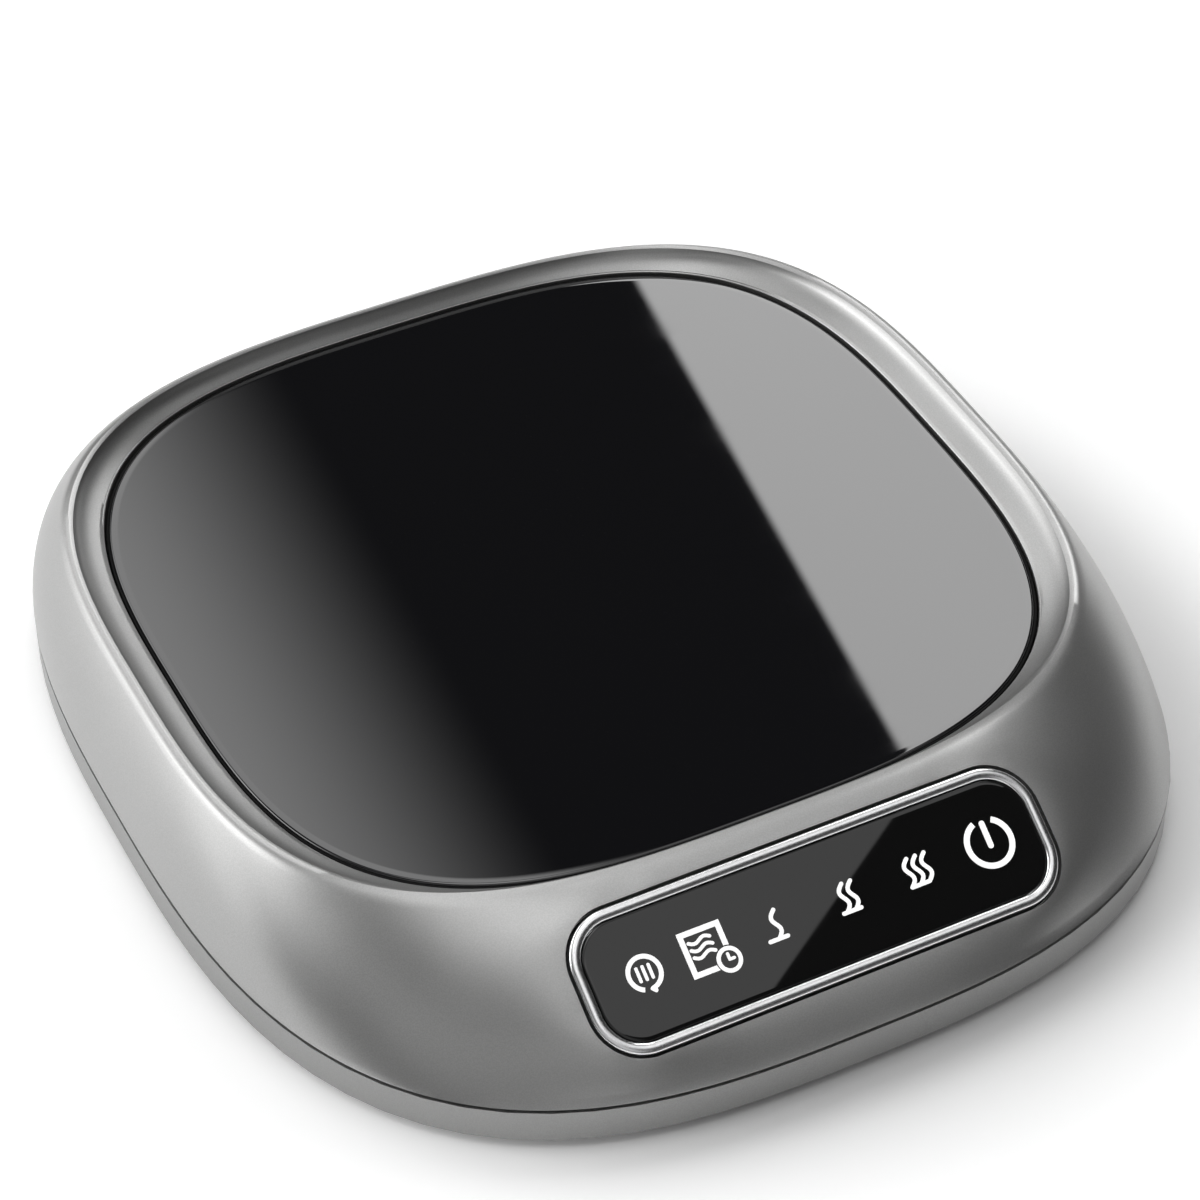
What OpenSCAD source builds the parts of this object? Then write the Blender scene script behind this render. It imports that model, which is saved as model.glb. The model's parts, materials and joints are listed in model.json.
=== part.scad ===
// Electric mug warmer. A low body with a rounded-square outline carries a black glass
// warming plate in a shallow dish, and a touch panel on its sloping front.
// The plate floats on four springs: a mug's weight pushes it down onto a switch.
// Origin: on the table, under the middle of the body. +Z is up and the panel faces -Y.

/* [Body] */
// Width of the body at its seam
body_w = 140.8; // [134:0.2:150]
// Depth of the body at its seam
body_d = 156.8; // [150:0.2:166]
// Squareness of the body's outline, where 2 is an ellipse
body_square = 2.9; // [2.6:0.1:3.3]
// Height of the rim above the table
rim_h = 22.6; // [22:0.1:26]
// How far the rim lies inside the body at each side
side_run = 5.7; // [4:0.1:8]
// How far the rim lies behind the body's front
front_run = 25.6; // [24:0.1:28]
// How far the rim lies inside the body at the back
back_run = 12.4; // [11:0.1:15]
// How far the side stands out, halfway up, from a straight slope
side_bulge = 1.2; // [0.6:0.1:1.3]
// Squareness of the rim's outline
rim_square = 3.15; // [2.9:0.05:3.6]
// Height of the base's side band
band_h = 5.5; // [5:0.1:6.5]
// Gap between the base's band and the top housing
seam_gap = 0.4; // [0.2:0.05:0.6]
// Wall of the top housing
shell_wall = 2.0; // [1.6:0.1:2.4]
// Wall of the base's side band
band_wall = 2.2; // [1.8:0.1:2.6]
// Thickness of the base's floor
floor_t = 2.0; // [1.6:0.1:2.2]

/* [Dish and glass] */
// Depth of the dish, from the rim to the glass
dish_depth = 2.8; // [2.2:0.1:3.4]
// Width of the dish's lip at each side
lip_side = 5.8; // [4:0.1:7]
// Width of the dish's lip at the front
lip_front = 2.5; // [2:0.1:4]
// Width of the dish's lip at the back
lip_back = 2.3; // [1.8:0.1:3]
// Squareness of the glass
glass_square = 3.15; // [2.9:0.05:3.8]
// Thickness of the glass
glass_t = 3.0; // [2.6:0.1:3.4]
// Thickness of the silicone seal around the glass
seal_t = 0.35; // [0.3:0.05:0.6]
// Running gap around the seal
plate_gap = 0.25; // [0.2:0.05:0.4]
// How far the dish's lip stands above the glass
lip_over = 0.15; // [0.1:0.05:0.3]
// How far the plate sinks under a mug
plate_travel = 0.8; // [0.5:0.05:1]

/* [Heater] */
// Thickness of the aluminium heat spreader
spreader_t = 2.0; // [1.6:0.1:2.2]
// Thickness of the heating foil
foil_t = 0.3; // [0.2:0.05:0.4]
// Number of the heating foil's rings
foil_rings = 7; // [5:1:8]
// Thickness of the mica sheet
mica_t = 0.5; // [0.3:0.05:0.6]
// Thickness of the insulation pad
pad_t = 2.0; // [1.6:0.1:2.2]
// Thickness of the steel clamp
clamp_t = 0.8; // [0.6:0.1:1]
// Diameter of the thermal fuse
fuse_d = 3.0; // [2.5:0.1:3.2]
// Length of the thermal fuse
fuse_l = 10; // [8:0.5:12]

/* [Springs and guides] */
// Diameter of the guide posts
post_d = 3.0; // [2.6:0.1:3.2]
// Radial running gap of a guide post in its sleeve
post_gap = 0.08; // [0.05:0.01:0.1]
// Mean diameter of the return springs
spring_d = 8.2; // [8:0.1:8.6]
// Wire of the return springs
spring_wire = 0.6; // [0.5:0.05:0.7]
// Coils of each return spring
spring_turns = 5; // [4:1:6]

/* [Touch panel] */
// Width of the panel over its bezel
panel_w = 67.5; // [66:0.5:70]
// Height of the panel over its bezel
panel_h = 19.7; // [19:0.1:20.5]
// Corner radius of the panel
panel_r = 7.0; // [5:0.1:8]
// Distance up the slope from the seam to the panel's middle
panel_up = 16.6; // [16:0.1:17.5]
// Width of the bezel's ring
bezel_w = 1.8; // [1.4:0.1:2.2]
// Height of the bezel above the slope
bezel_proud = 0.3; // [0.2:0.05:0.5]
// Thickness of the lens
lens_t = 1.8; // [1.4:0.1:2]
// Distance between the icons, as a share of the panel's width
icon_spread = 0.148; // [0.14:0.002:0.152]
// Line width of the icons
icon_line = 0.6; // [0.5:0.05:0.8]

/* [Electronics] */
// Width of the power board
board_w = 52; // [48:1:56]
// Length of the power board
board_l = 62; // [58:1:62]
// Thickness of the boards
board_t = 1.2; // [1:0.1:1.4]
// Width of the ribbon cable
ribbon_w = 8; // [6:0.5:9]

/* [Power inlet] */
// Width of the inlet's body
jack_w = 8.4; // [8:0.1:9]
// Height of the inlet's body
jack_h = 7.4; // [7.2:0.1:7.8]
// Length of the inlet's body
jack_l = 11; // [10:0.5:11.5]
// Bore of the inlet for the plug's barrel
socket_d = 5.8; // [5.6:0.1:6]
// Diameter of the inlet's centre pin
pin_d = 2.1; // [2:0.05:2.5]

/* [Feet and screws] */
// Height of the feet below the base
foot_proud = 1.5; // [1.2:0.1:2]
// Diameter of the feet
foot_d = 14; // [12:0.5:16]
// Depth of the pockets that hold the feet
foot_sunk = 0.8; // [0.5:0.1:1]
// Diameter of the housing screws
screw_d = 2.8; // [2.4:0.1:3]
// Diameter of the small screws
small_d = 2.0; // [1.6:0.1:2.2]

/* [Hidden] */

$fn = 48;
steps = 96;           // points around each outline
fit = 0.1;            // clearance of a part dropped into its pocket
seat = 0.05;          // gap between a part and what it lies on, where both are curved
over = 1;             // how far a cutting tool runs past the face that it cuts

// Heights
base_z = foot_proud;
floor_z = base_z + floor_t;
seam_z = base_z + band_h;
glass_top = rim_h - dish_depth;
glass_z = glass_top - glass_t;
seal_lip = 0.8;
seal_in = 3;
seal_drop = 0.25;
shelf_z = glass_z - seal_lip;
spreader_z = glass_z - spreader_t;
foil_z = spreader_z - foil_t;
mica_z = foil_z - mica_t;
pad_z = mica_z - pad_t;
clamp_z = pad_z - clamp_t;
skirt_z = glass_z + 0.2;
ledge_t = 1.4;
ledge_z = spreader_z - ledge_t;
boss_z = clamp_z - 1.4;

// Outlines are [half width, half depth, squareness, centre y, height]
seam_loop = [body_w / 2, body_d / 2, body_square, 0, seam_z];
rim_front = front_run - body_d / 2;
rim_back = body_d / 2 - back_run;
rim_loop = [
    body_w / 2 - side_run, (rim_back - rim_front) / 2, rim_square,
    (rim_back + rim_front) / 2, rim_h
];
mouth_front = rim_front + lip_front;
mouth_back = rim_back - lip_back;
mouth_loop = [
    rim_loop[0] - lip_side, (mouth_back - mouth_front) / 2, glass_square,
    (mouth_back + mouth_front) / 2, glass_top + lip_over
];
glass_loop = grown(mouth_loop, -plate_gap - seal_t);
stack_loop = grown(glass_loop, -7.2);

function blend(a, b, s) = a + (b - a) * s;
function grown(l, d) = [l[0] + d, l[1] + d, l[2], l[3], l[4]];
function at_z(l, z) = [l[0], l[1], l[2], l[3], z];
function reach(l, t) =
    pow(pow(abs(cos(t)) / l[0], l[2]) + pow(abs(sin(t)) / l[1], l[2]), -1 / l[2]);
function point_on(l, t) = [reach(l, t) * cos(t), l[3] + reach(l, t) * sin(t)];
function inside(l, p) = pow(abs(p[0]) / l[0], l[2]) + pow(abs(p[1] - l[3]) / l[1], l[2]);
function ring(l) = [for (i = [0:steps - 1]) concat(point_on(l, i * 360 / steps), [l[4]])];

// The body's sloping side at a height, and the inner face of its wall
function bulge(s) = 4 * side_bulge * s * (1 - s);
function flank(z) =
    let (s = (z - seam_z) / (rim_h - seam_z))
    grown(blend(seam_loop, rim_loop, s), bulge(s));
function inner(z) = at_z(grown(flank(z + 0.6 * shell_wall), -0.85 * shell_wall), z);
// Height of the sloping side above a point of the floor
function flank_z(p, lo = seam_z, hi = rim_h, n = 16) =
    n == 0 ? lo :
    let (mid = (lo + hi) / 2)
    inside(flank(mid), p) < 1 ? flank_z(p, mid, hi, n - 1) : flank_z(p, lo, mid, n - 1);

module outline(l) polygon([for (p = ring(l)) [p[0], p[1]]]);
module slab(l, z0, z1) translate([0, 0, z0]) linear_extrude(z1 - z0) outline(l);
module tube_slab(l, l_in, z0, z1) translate([0, 0, z0]) linear_extrude(z1 - z0)
    difference() {
        outline(l);
        outline(l_in);
    }
module rod(p, z0, z1, r) translate([p[0], p[1], z0]) cylinder(r = r, h = z1 - z0);
module block(p, size) translate([p[0] - size[0] / 2, p[1] - size[1] / 2, p[2]]) cube(size);
module round_rect(w, h, r) {
    square([w - 2 * r, h], center = true);
    square([w, h - 2 * r], center = true);
    for (x = [-1, 1], y = [-1, 1]) translate([x * (w / 2 - r), y * (h / 2 - r)]) circle(r);
}
module round_block(w, h, r, z0, z1) translate([0, 0, z0]) linear_extrude(z1 - z0)
    round_rect(w, h, r);

// A closed skin over rings that each have the same number of points
module skin(rings, closed = false) {
    n = len(rings[0]);
    rows = len(rings);
    last = closed ? rows - 1 : rows - 2;
    sides = [
        for (k = [0:last], i = [0:n - 1])
        let (a = k * n, b = ((k + 1) % rows) * n, j = (i + 1) % n)
        [a + i, b + i, b + j, a + j]
    ];
    ends = closed ? [] : [
        [for (i = [0:n - 1]) i],
        [for (i = [n - 1:-1:0]) (rows - 1) * n + i]
    ];
    polyhedron([for (r = rings, p = r) p], concat(sides, ends), convexity = 8);
}

// A round tube along a path, with its rings square to the path
function unit(v) = v / norm(v);
function along(path, k) = unit(path[min(k + 1, len(path) - 1)] - path[max(k - 1, 0)]);
module tube_along(path, r, sides = 8, up = [0, 0, 1]) skin([
    for (k = [0:len(path) - 1])
    let (t = along(path, k), a = unit(cross(up, t)), b = cross(t, a))
    [for (i = [0:sides - 1]) path[k] + r * (cos(-i * 360 / sides) * a + sin(-i * 360 / sides) * b)]
]);
// A coil spring that stands on its origin
module coil(mean_d, wire, turns, h, per_turn = 8) {
    rise = h - wire;
    path = [
        for (i = [0:turns * per_turn])
        let (t = i / (turns * per_turn))
        [mean_d / 2 * cos(360 * turns * t), mean_d / 2 * sin(360 * turns * t), wire / 2 + rise * t]
    ];
    tube_along(path, wire / 2, 6);
}

// Touch panel: a flat place on the front slope, with its own frame
// x across, y up the slope and z straight out of it.
slope = atan2(rim_h - seam_z, front_run);
panel_up_dir = [0, cos(slope), sin(slope)];
panel_out = [0, -sin(slope), cos(slope)];
panel_share = panel_up * sin(slope) / (rim_h - seam_z);
panel_c = [0, -body_d / 2, seam_z] + panel_up * panel_up_dir
    + bulge(panel_share) * sin(slope) * panel_out;
module on_panel() translate(panel_c) rotate([slope, 0, 0]) children();
// The slope is drawn flat around the panel. It fades back to the body's curve beside the panel,
// and is that curve again along the seam and the crest
pad_fade_side = 16;
pad_fade_up = 3.4;
pad_fade_down = 6;
pad_margin = 0.6;
pad_over_seam = 3.2;
pad_under_crest = 1.1;
function ease(s) = let (c = min(max(s, 0), 1)) c * c * (3 - 2 * c);
function flattened(p) =
    let (
        d = p - panel_c,
        rise = d * panel_up_dir,
        corner = panel_r + pad_margin,
        side = max(0, abs(d[0]) - panel_w / 2 - pad_margin + corner),
        up = max(0, abs(rise) - panel_h / 2 - pad_margin + corner),
        outside = 1 - corner / max(norm([side, up]), corner),
        fade_up = rise > 0 ? pad_fade_up : pad_fade_down,
        away = norm([side * outside / pad_fade_side, up * outside / fade_up]),
        edge = ease((p[2] - seam_z) / pad_over_seam) * ease((rim_h - p[2]) / pad_under_crest),
        share = ease(1 - away) * edge
    )
    d[1] > 30 ? p : p - panel_out * (d * panel_out) * share;

pocket_gap = 0.2;
pocket_depth = 2.4;
flange_in = 3.2;
bezel_flange = 0.5;
tape_t = 0.15;
frame_margin = 1.3;
frame_depth = 5.2;
lens_w = panel_w - 2 * bezel_w - 2 * fit;
lens_h = panel_h - 2 * bezel_w - 2 * fit;
lens_r = panel_r - bezel_w - fit;
window_w = panel_w - 2 * flange_in;
window_h = panel_h - 2 * flange_in;
touch_w = window_w + 7;
touch_h = window_h + 2;
touch_screw_x = window_w / 2 + 1.9;
// Lowest edge of the panel's frame
frame_low = panel_c[2] - (panel_h / 2 + frame_margin) * sin(slope) - frame_depth * cos(slope);
icon_pitch = icon_spread * panel_w;
icon_x = icon_pitch * [-2.48, -1.61, -0.62, 0.43, 1.45, 2.52];
icon_room = window_w / 2 - icon_x[5];
touch_wire = 0.5;
touch_turns = 3;
touch_spring_d = 1.05 * icon_room;

// Housing screws: two near the front corners and two near the rear corners
screw_r = screw_d / 2;
screw_boss_r = screw_r + 1.8;
screw_head_r = screw_r + 1.3;
screw_head_t = 1.8;
screw_grip = 4.8;
joint_z = floor_z + 1.7;
head_z = floor_z + 0.2;
screw_tip = joint_z + screw_grip;
front_screw = point_on(grown(seam_loop, -9.5), -50);
rear_screw = point_on(grown(seam_loop, -6.2), 54.5);
screw_spots = [
    for (x = [-1, 1], p = [front_screw, rear_screw]) [x * p[0], p[1]]
];
function boss_top(p) = flank_z(p + unit([p[0], p[1]]) * screw_boss_r) - 0.8;

// Guide posts, sleeves and springs under the corners of the plate
post_r = post_d / 2;
sleeve_r = post_r + 1.7;
post_boss_r = spring_d / 2 + spring_wire / 2 + 0.5;
post_angle = 43.7;
post_spot = point_on(grown(glass_loop, -1.4), post_angle);
post_y = post_spot[1] - glass_loop[3];
post_spots = [
    for (x = [-1, 1], y = [-1, 1]) [x * post_spot[0], glass_loop[3] + y * post_y]
];

// Clamp screws reach up into bosses under the heat spreader
stud_r = 3;
stud_in = 8.4;
stud_spot = point_on(grown(stack_loop, -stud_in), 43.5);
stud_y = stud_spot[1] - glass_loop[3];
clamp_spots = [
    for (x = [-1, 1], y = [-1, 1]) [x * stud_spot[0], glass_loop[3] + y * stud_y]
];
sensor_spot = [0, glass_loop[3] - 10];
sensor_r = 2;

// Power board, standing on short pegs over the rear half of the floor
standoff = 0.8;
board_z = floor_z + standoff;
board_top = board_z + board_t;
under_clamp = clamp_z - plate_travel - 1;
small_r = small_d / 2;
back_in = body_d / 2 - 8.4;
board_y1 = back_in;
board_y0 = board_y1 - board_l;
board_spots = [
    for (x = [-1, 1], y = [board_y0 + 4, board_y1 - 4]) [x * (board_w / 2 - 4), y]
];

// Socket for the ribbon cable on the board, and how far it lies behind the board's edge
cable_x = -8;
board_socket = [ribbon_w + 3, 4, 1.8];
board_socket_in = 2.2;

// Power inlet at the back
jack_y1 = body_d / 2 - 5;
jack_y0 = jack_y1 - jack_l;
jack_z = board_z;
jack_mid = jack_z + jack_h / 2;
frame_t = 2;
frame_y0 = jack_y1 - frame_t;
notch_w = 16.6;
notch_z = jack_z + jack_h + 1.2;
wing_x = notch_w / 2 + 1.3;
wing_h = 5.8;

// Weight switch under the back edge of the plate carrier
switch_spot = [18, glass_loop[3] + glass_loop[1] - 4.2];
switch_size = [6.2, 6.2, 3.1];
switch_top = board_top + switch_size[2];
plunger_r = 1.6;
plunger_top = switch_top + 1.2;
plunger_bottom = switch_top - 1.2;
finger_w = 5;
finger_d = 4.4;

// Feet
foot_r = foot_d / 2;
foot_round = 0.8;
foot_spot = point_on(grown(seam_loop, -17), 57);
foot_spots = [for (x = [-1, 1], y = [-1, 1]) [x * foot_spot[0], y * foot_spot[1]]];

// Shallow recess under the floor
recess = [56, 26, 0.3];
recess_y = 30;

rib_t = 1.2;
rib_z = seam_z + 1.4;
rib_loop = grown(inner(rib_z), -0.15);

// ---- body ----

module housing_shell() {
    lip_edge = 0.35;
    flank_rows = 12;
    flank_zs = [
        for (k = [0:flank_rows]) blend(seam_z + lip_edge, rim_h - 0.9, k / flank_rows)
    ];
    outer = [
        ring(grown(flank(seam_z), -lip_edge)),
        for (z = flank_zs) [for (p = ring(flank(z))) flattened(p)],
        [for (p = ring(grown(flank(rim_h - 0.35), -0.1))) flattened(p)]
    ];
    // the rounded rim and the dish's lip, which is steep beside the rim and gentle further in
    lip_top = mouth_loop[4];
    hollow = rim_h - lip_top;
    steep = 0.35;
    dish = [
        for (f = [0.14, 0.28, 0.36, 0.46, 0.58, 0.72, 0.86, 1])
        let (
            far = (f - 0.2) / 0.8,
            drop = f < 0.3 ? 0.09 * ease((f - 0.14) / 0.14)
                : steep * (1 - pow(1 - far, 5)) + (1 - steep) * far
        )
        ring(at_z(blend(rim_loop, mouth_loop, f), rim_h - hollow * drop))
    ];
    wall = [
        ring(at_z(mouth_loop, skirt_z)),
        for (z = [skirt_z, blend(skirt_z, seam_z, 0.33), blend(skirt_z, seam_z, 0.66), seam_z])
        ring(inner(z))
    ];
    skin(concat(outer, dish, wall), closed = true);
}

module top_housing() color([0.47, 0.47, 0.47]) difference() {
    union() {
        housing_shell();
        on_panel() round_block(
            panel_w + 2 * frame_margin, panel_h + 2 * frame_margin, panel_r + frame_margin,
            -frame_depth, -pocket_depth + 0.4
        );
        for (p = screw_spots) rod(p, joint_z, boss_top(p), screw_boss_r);
    }
    on_panel() round_block(
        panel_w + 2 * pocket_gap, panel_h + 2 * pocket_gap, panel_r + pocket_gap,
        -pocket_depth - seat, 6
    );
    on_panel() round_block(window_w, window_h, 2, -frame_depth - over, 0);
    on_panel() for (x = [-1, 1]) translate([x * touch_screw_x, 0, -frame_depth - over])
        cylinder(r = small_r, h = over + 2.2);
    for (p = screw_spots) rod(p, joint_z - over, screw_tip + 0.3, screw_r);
    block([0, body_d / 2, floor_z], [notch_w, 2 * (body_d / 2 - frame_y0 + fit), notch_z - floor_z]);
}

module base_cover() color([0.36, 0.36, 0.36]) difference() {
    union() {
        slab(seam_loop, base_z, floor_z);
        tube_slab(seam_loop, grown(seam_loop, -band_wall), base_z, seam_z - seam_gap);
        difference() {
            tube_slab(rib_loop, grown(rib_loop, -rib_t), floor_z - 0.5, rib_z);
            for (p = screw_spots) rod(p, joint_z, rib_z + over, screw_boss_r + 0.3);
            block([0, body_d / 2, floor_z], [2 * wing_x + 5, 20, 20]);
            block([0, -body_d / 2, frame_low - 0.3], [panel_w + 2 * frame_margin + 4, 24, 20]);
        }
        for (p = screw_spots) rod(p, base_z, joint_z, screw_head_r + 1.3);
        for (p = post_spots) rod(p, floor_z - 0.5, boss_z - plate_travel - 0.6, sleeve_r);
        for (p = board_spots) rod(p, floor_z - 0.5, board_z, small_r + 1.5);
        for (x = [-1, 1]) inlet_guide(x);
        block([0, jack_y0 + 4, floor_z - 0.5], [jack_w - 2, 6, standoff + 0.5]);
    }
    for (p = screw_spots) {
        rod(p, base_z - over, head_z + screw_head_t / 2, screw_head_r + 0.3);
        rod(p, base_z - over, joint_z + over, screw_r + 0.2);
    }
    for (p = post_spots) rod(p, floor_z, boss_z, post_r + post_gap);
    for (p = foot_spots) rod(p, base_z - over, base_z + foot_sunk, foot_r + fit);
    for (p = board_spots) rod(p, floor_z - 1, board_z + over, small_r);
    block([0, body_d / 2, floor_z], [notch_w, 14, 20]);
    vents();
    block([0, recess_y, base_z - over], [recess[0], recess[1], over + recess[2]]);
}

// Two slotted posts that hold the edges of the inlet's frame. Their outer lips are low, to
// clear the housing's wall.
module inlet_guide(side) {
    lip = 1.2;
    outer_lip_h = 3.6;
    mid_y = frame_y0 + frame_t / 2;
    x = side * (wing_x + 0.5);
    difference() {
        block([x, mid_y, floor_z - 0.5], [3, frame_t + 2 * lip, wing_h + 0.5]);
        block([x - side * 1.4, mid_y, floor_z], [3, frame_t + 2 * fit, 20]);
        block([x, mid_y + frame_t / 2 + lip, floor_z + outer_lip_h], [4, 2 * lip + 2 * fit, 20]);
    }
}

// Slots in the floor under the front half of the plate
module vents() {
    slot_w = 2.4;
    slot_l = 26;
    slot_pitch = 8;
    slots_y = glass_loop[3] - 37;
    for (k = [-3:3]) translate([k * slot_pitch, slots_y, base_z - over])
        linear_extrude(floor_t + 2 * over) {
            square([slot_w, slot_l - slot_w], center = true);
            for (end = [-1, 1]) translate([0, end * (slot_l - slot_w) / 2]) circle(slot_w / 2);
        }
}

module rubber_feet() color([0.12, 0.12, 0.12]) for (p = foot_spots) translate(p)
    rotate_extrude() polygon([
        [0, 0], [foot_r - foot_round, 0], [foot_r - 0.35 * foot_round, 0.35 * foot_round],
        [foot_r, foot_round],
        [foot_r, base_z + foot_sunk], [0, base_z + foot_sunk]
    ]);

module screw(p, z, head_r, head_t, r, tip) {
    difference() {
        rod(p, z, z + head_t, head_r);
        for (a = [0, 90]) translate([p[0], p[1], z]) rotate(a)
            cube([head_r * 1.2, head_r * 0.3, head_t], center = true);
    }
    rod(p, z + head_t, tip, r);
}
module housing_screws() color([0.6, 0.6, 0.62]) for (p = screw_spots)
    screw(p, head_z - screw_head_t / 2, screw_head_r, screw_head_t, screw_r - seat, screw_tip);

// ---- warming plate, which moves ----

module glass_plate() color([0.03, 0.03, 0.035]) slab(glass_loop, glass_z, glass_top);

module plate_seal() color([0.08, 0.08, 0.08]) {
    ring_out = grown(glass_loop, seal_t);
    tube_slab(ring_out, grown(glass_loop, -seal_in), shelf_z, glass_z);
    tube_slab(ring_out, glass_loop, glass_z, glass_top - seal_drop);
}

module heat_spreader() color([0.8, 0.81, 0.82]) difference() {
    union() {
        slab(grown(glass_loop, -4), spreader_z, glass_z);
        for (p = clamp_spots) rod(p, pad_z, spreader_z, stud_r);
    }
    for (p = clamp_spots) rod(p, pad_z - over, spreader_z + 0.6, small_r);
}

// One ring of foil outside the studs and the others inside them. Each ring is cut open
// at one end, and bridges beside the cut join it to the next.
foil_hole = stud_r + 0.8;
ring_start = stud_in + foil_hole + 0.5;
ring_pitch = (stack_loop[1] - ring_start - 9) / (foil_rings - 1);
track_w = min(ring_pitch * 0.62, stud_in - foil_hole - 1);
function foil_in(k) = k == 0 ? 1 : ring_start + (k - 1) * ring_pitch;
module heating_foil() color([0.72, 0.62, 0.42])
    translate([0, glass_loop[3], foil_z]) linear_extrude(foil_t) difference() {
        for (k = [0:foil_rings - 1]) rotate(180 * (k % 2)) {
            difference() {
                translate([0, -glass_loop[3]]) outline(grown(stack_loop, -foil_in(k)));
                translate([0, -glass_loop[3]]) outline(grown(stack_loop, -foil_in(k) - track_w));
                translate([-1.2, 0]) square([2.4, 100]);
            }
            if (k < foil_rings - 1) for (x = [-1, 1])
                translate([x * 3 - 1.5, stack_loop[1] - foil_in(k + 1) - track_w])
                    square([3, foil_in(k + 1) - foil_in(k) + track_w]);
        }
        translate(sensor_spot - [0, glass_loop[3]]) circle(sensor_r + 1);
    }

module stack_sheet(z0, z1, hole_gap) difference() {
    slab(stack_loop, z0, z1);
    for (p = clamp_spots) rod(p, z0 - over, z1 + over, stud_r + hole_gap);
    rod(sensor_spot, z0 - over, z1 + over, sensor_r + hole_gap);
}
module mica_sheet() color([0.78, 0.72, 0.58]) stack_sheet(mica_z, foil_z, fit);
module insulation_pad() color([0.93, 0.92, 0.88]) stack_sheet(pad_z, mica_z, fit);

module heater_clamp() color([0.68, 0.69, 0.7]) difference() {
    slab(stack_loop, clamp_z, pad_z);
    for (p = clamp_spots) rod(p, clamp_z - over, pad_z + over, small_r + 0.1);
    rod(sensor_spot, clamp_z - over, pad_z + over, sensor_r + fit);
    for (x = [-1, 1], y = [-1, 1]) translate([x * 20, glass_loop[3] + y * 24, clamp_z - over])
        linear_extrude(clamp_t + 2 * over) round_rect(14, 18, 4);
}
module clamp_screws() color([0.55, 0.55, 0.57]) for (p = clamp_spots)
    screw(p, clamp_z - 1.3, small_r + 1, 1.3, small_r - seat, spreader_z + 0.4);

module plate_carrier() color([0.16, 0.16, 0.17]) difference() {
    union() {
        flange = grown(glass_loop, seal_t + plate_gap + 1.8);
        top = skirt_z - fit;
        slab(flange, shelf_z - 1, top);
        slab(grown(glass_loop, -1), ledge_z, top);
        for (p = post_spots) rod(p, boss_z, shelf_z - 1, post_boss_r);
        block([switch_spot[0], switch_spot[1], plunger_top + seat],
            [finger_w, finger_d, ledge_z - plunger_top - seat + 0.5]);
    }
    slab(grown(glass_loop, seal_t), shelf_z, glass_top);
    slab(grown(glass_loop, -3.9), spreader_z, glass_top);
    slab(grown(glass_loop, -6.4), ledge_z - over, glass_top);
    for (p = post_spots) rod(p, boss_z - over, boss_z + 3.3, post_r + 0.01);
}

module guide_posts() color([0.7, 0.71, 0.73]) for (p = post_spots)
    rod(p, floor_z + plate_travel + 0.3, boss_z + 3.2, post_r);

module return_springs() color([0.62, 0.63, 0.65]) for (p = post_spots)
    translate([p[0], p[1], floor_z + seat])
        coil(spring_d, spring_wire, spring_turns, boss_z - floor_z - 2 * seat);

fuse_spot = [14, glass_loop[3] - 22];
fuse_lead = 4.5;
fuse_lead_d = 0.9;
fuse_z = clamp_z - fuse_d / 2 - seat;
module thermal_fuse() color([0.85, 0.84, 0.8]) translate([fuse_spot[0], fuse_spot[1], fuse_z])
    rotate([0, 90, 0]) {
        cylinder(d = fuse_d, h = fuse_l, center = true);
        cylinder(d = fuse_lead_d, h = fuse_l + 2 * fuse_lead, center = true);
    }
// A steel saddle with two feet, held flat against the clamp
module fuse_clip() color([0.7, 0.7, 0.72]) translate([fuse_spot[0], fuse_spot[1], 0]) {
    strap_w = 4;
    strap_t = 0.55;
    foot_l = 3;
    bore = fuse_d + fit;
    wide = bore + 2 * strap_t;
    difference() {
        union() {
            block([0, 0, fuse_z], [strap_w, wide, clamp_z - fuse_z]);
            across_x(fuse_z, wide, strap_w);
        }
        across_x(fuse_z, bore, strap_w + 2 * over);
        block([0, 0, fuse_z], [strap_w + 2 * over, bore, clamp_z - fuse_z + over]);
    }
    for (y = [-1, 1]) block([0, y * (wide / 2 + foot_l / 2 - 0.3), clamp_z - strap_t],
        [strap_w, foot_l, strap_t]);
}
module across_x(z, d, h) translate([0, 0, z]) rotate([0, 90, 0]) cylinder(d = d, h = h, center = true);

module heat_sensor() color([0.75, 0.7, 0.6])
    rod(sensor_spot, clamp_z - 0.4, foil_z + foil_t - seat, sensor_r);
// A leaf spring across the clamp that presses the sensor up
module sensor_clip() color([0.72, 0.73, 0.75]) difference() {
    block([sensor_spot[0], sensor_spot[1], clamp_z - 1], [22, 4, 1]);
    block([sensor_spot[0], sensor_spot[1], clamp_z - 0.4 - seat], [12, 5, 1]);
}

// Two insulated leads from the heater down to their terminals on the board
lead_r = 0.6;
terminal_in = 1.6;
terminal_top = under_clamp + 0.35;
terminal_size = [9, 6];
lead_top = clamp_z - lead_r - seat;
lead_low = terminal_top - lead_r - 0.3;
lead_y0 = glass_loop[3] - 14;
lead_y1 = board_y0 + board_socket[1] + board_socket_in + 2.3;
lead_pitch = 4;
lead_x = cable_x - board_socket[0] / 2 - lead_pitch - lead_r - 1;
module heater_leads() color([0.75, 0.12, 0.1]) for (k = [0, 1]) {
    x = lead_x + k * lead_pitch;
    tube_along([
        for (i = [0:14])
        let (s = i / 14, swing = k * lead_pitch / 2 * pow(sin(180 * s), 2))
        [x - swing, blend(lead_y0, lead_y1, s), blend(lead_top, lead_low, ease(s))],
        [x, lead_y1 + terminal_in, lead_low]
    ], lead_r);
}

// ---- touch panel ----

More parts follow.
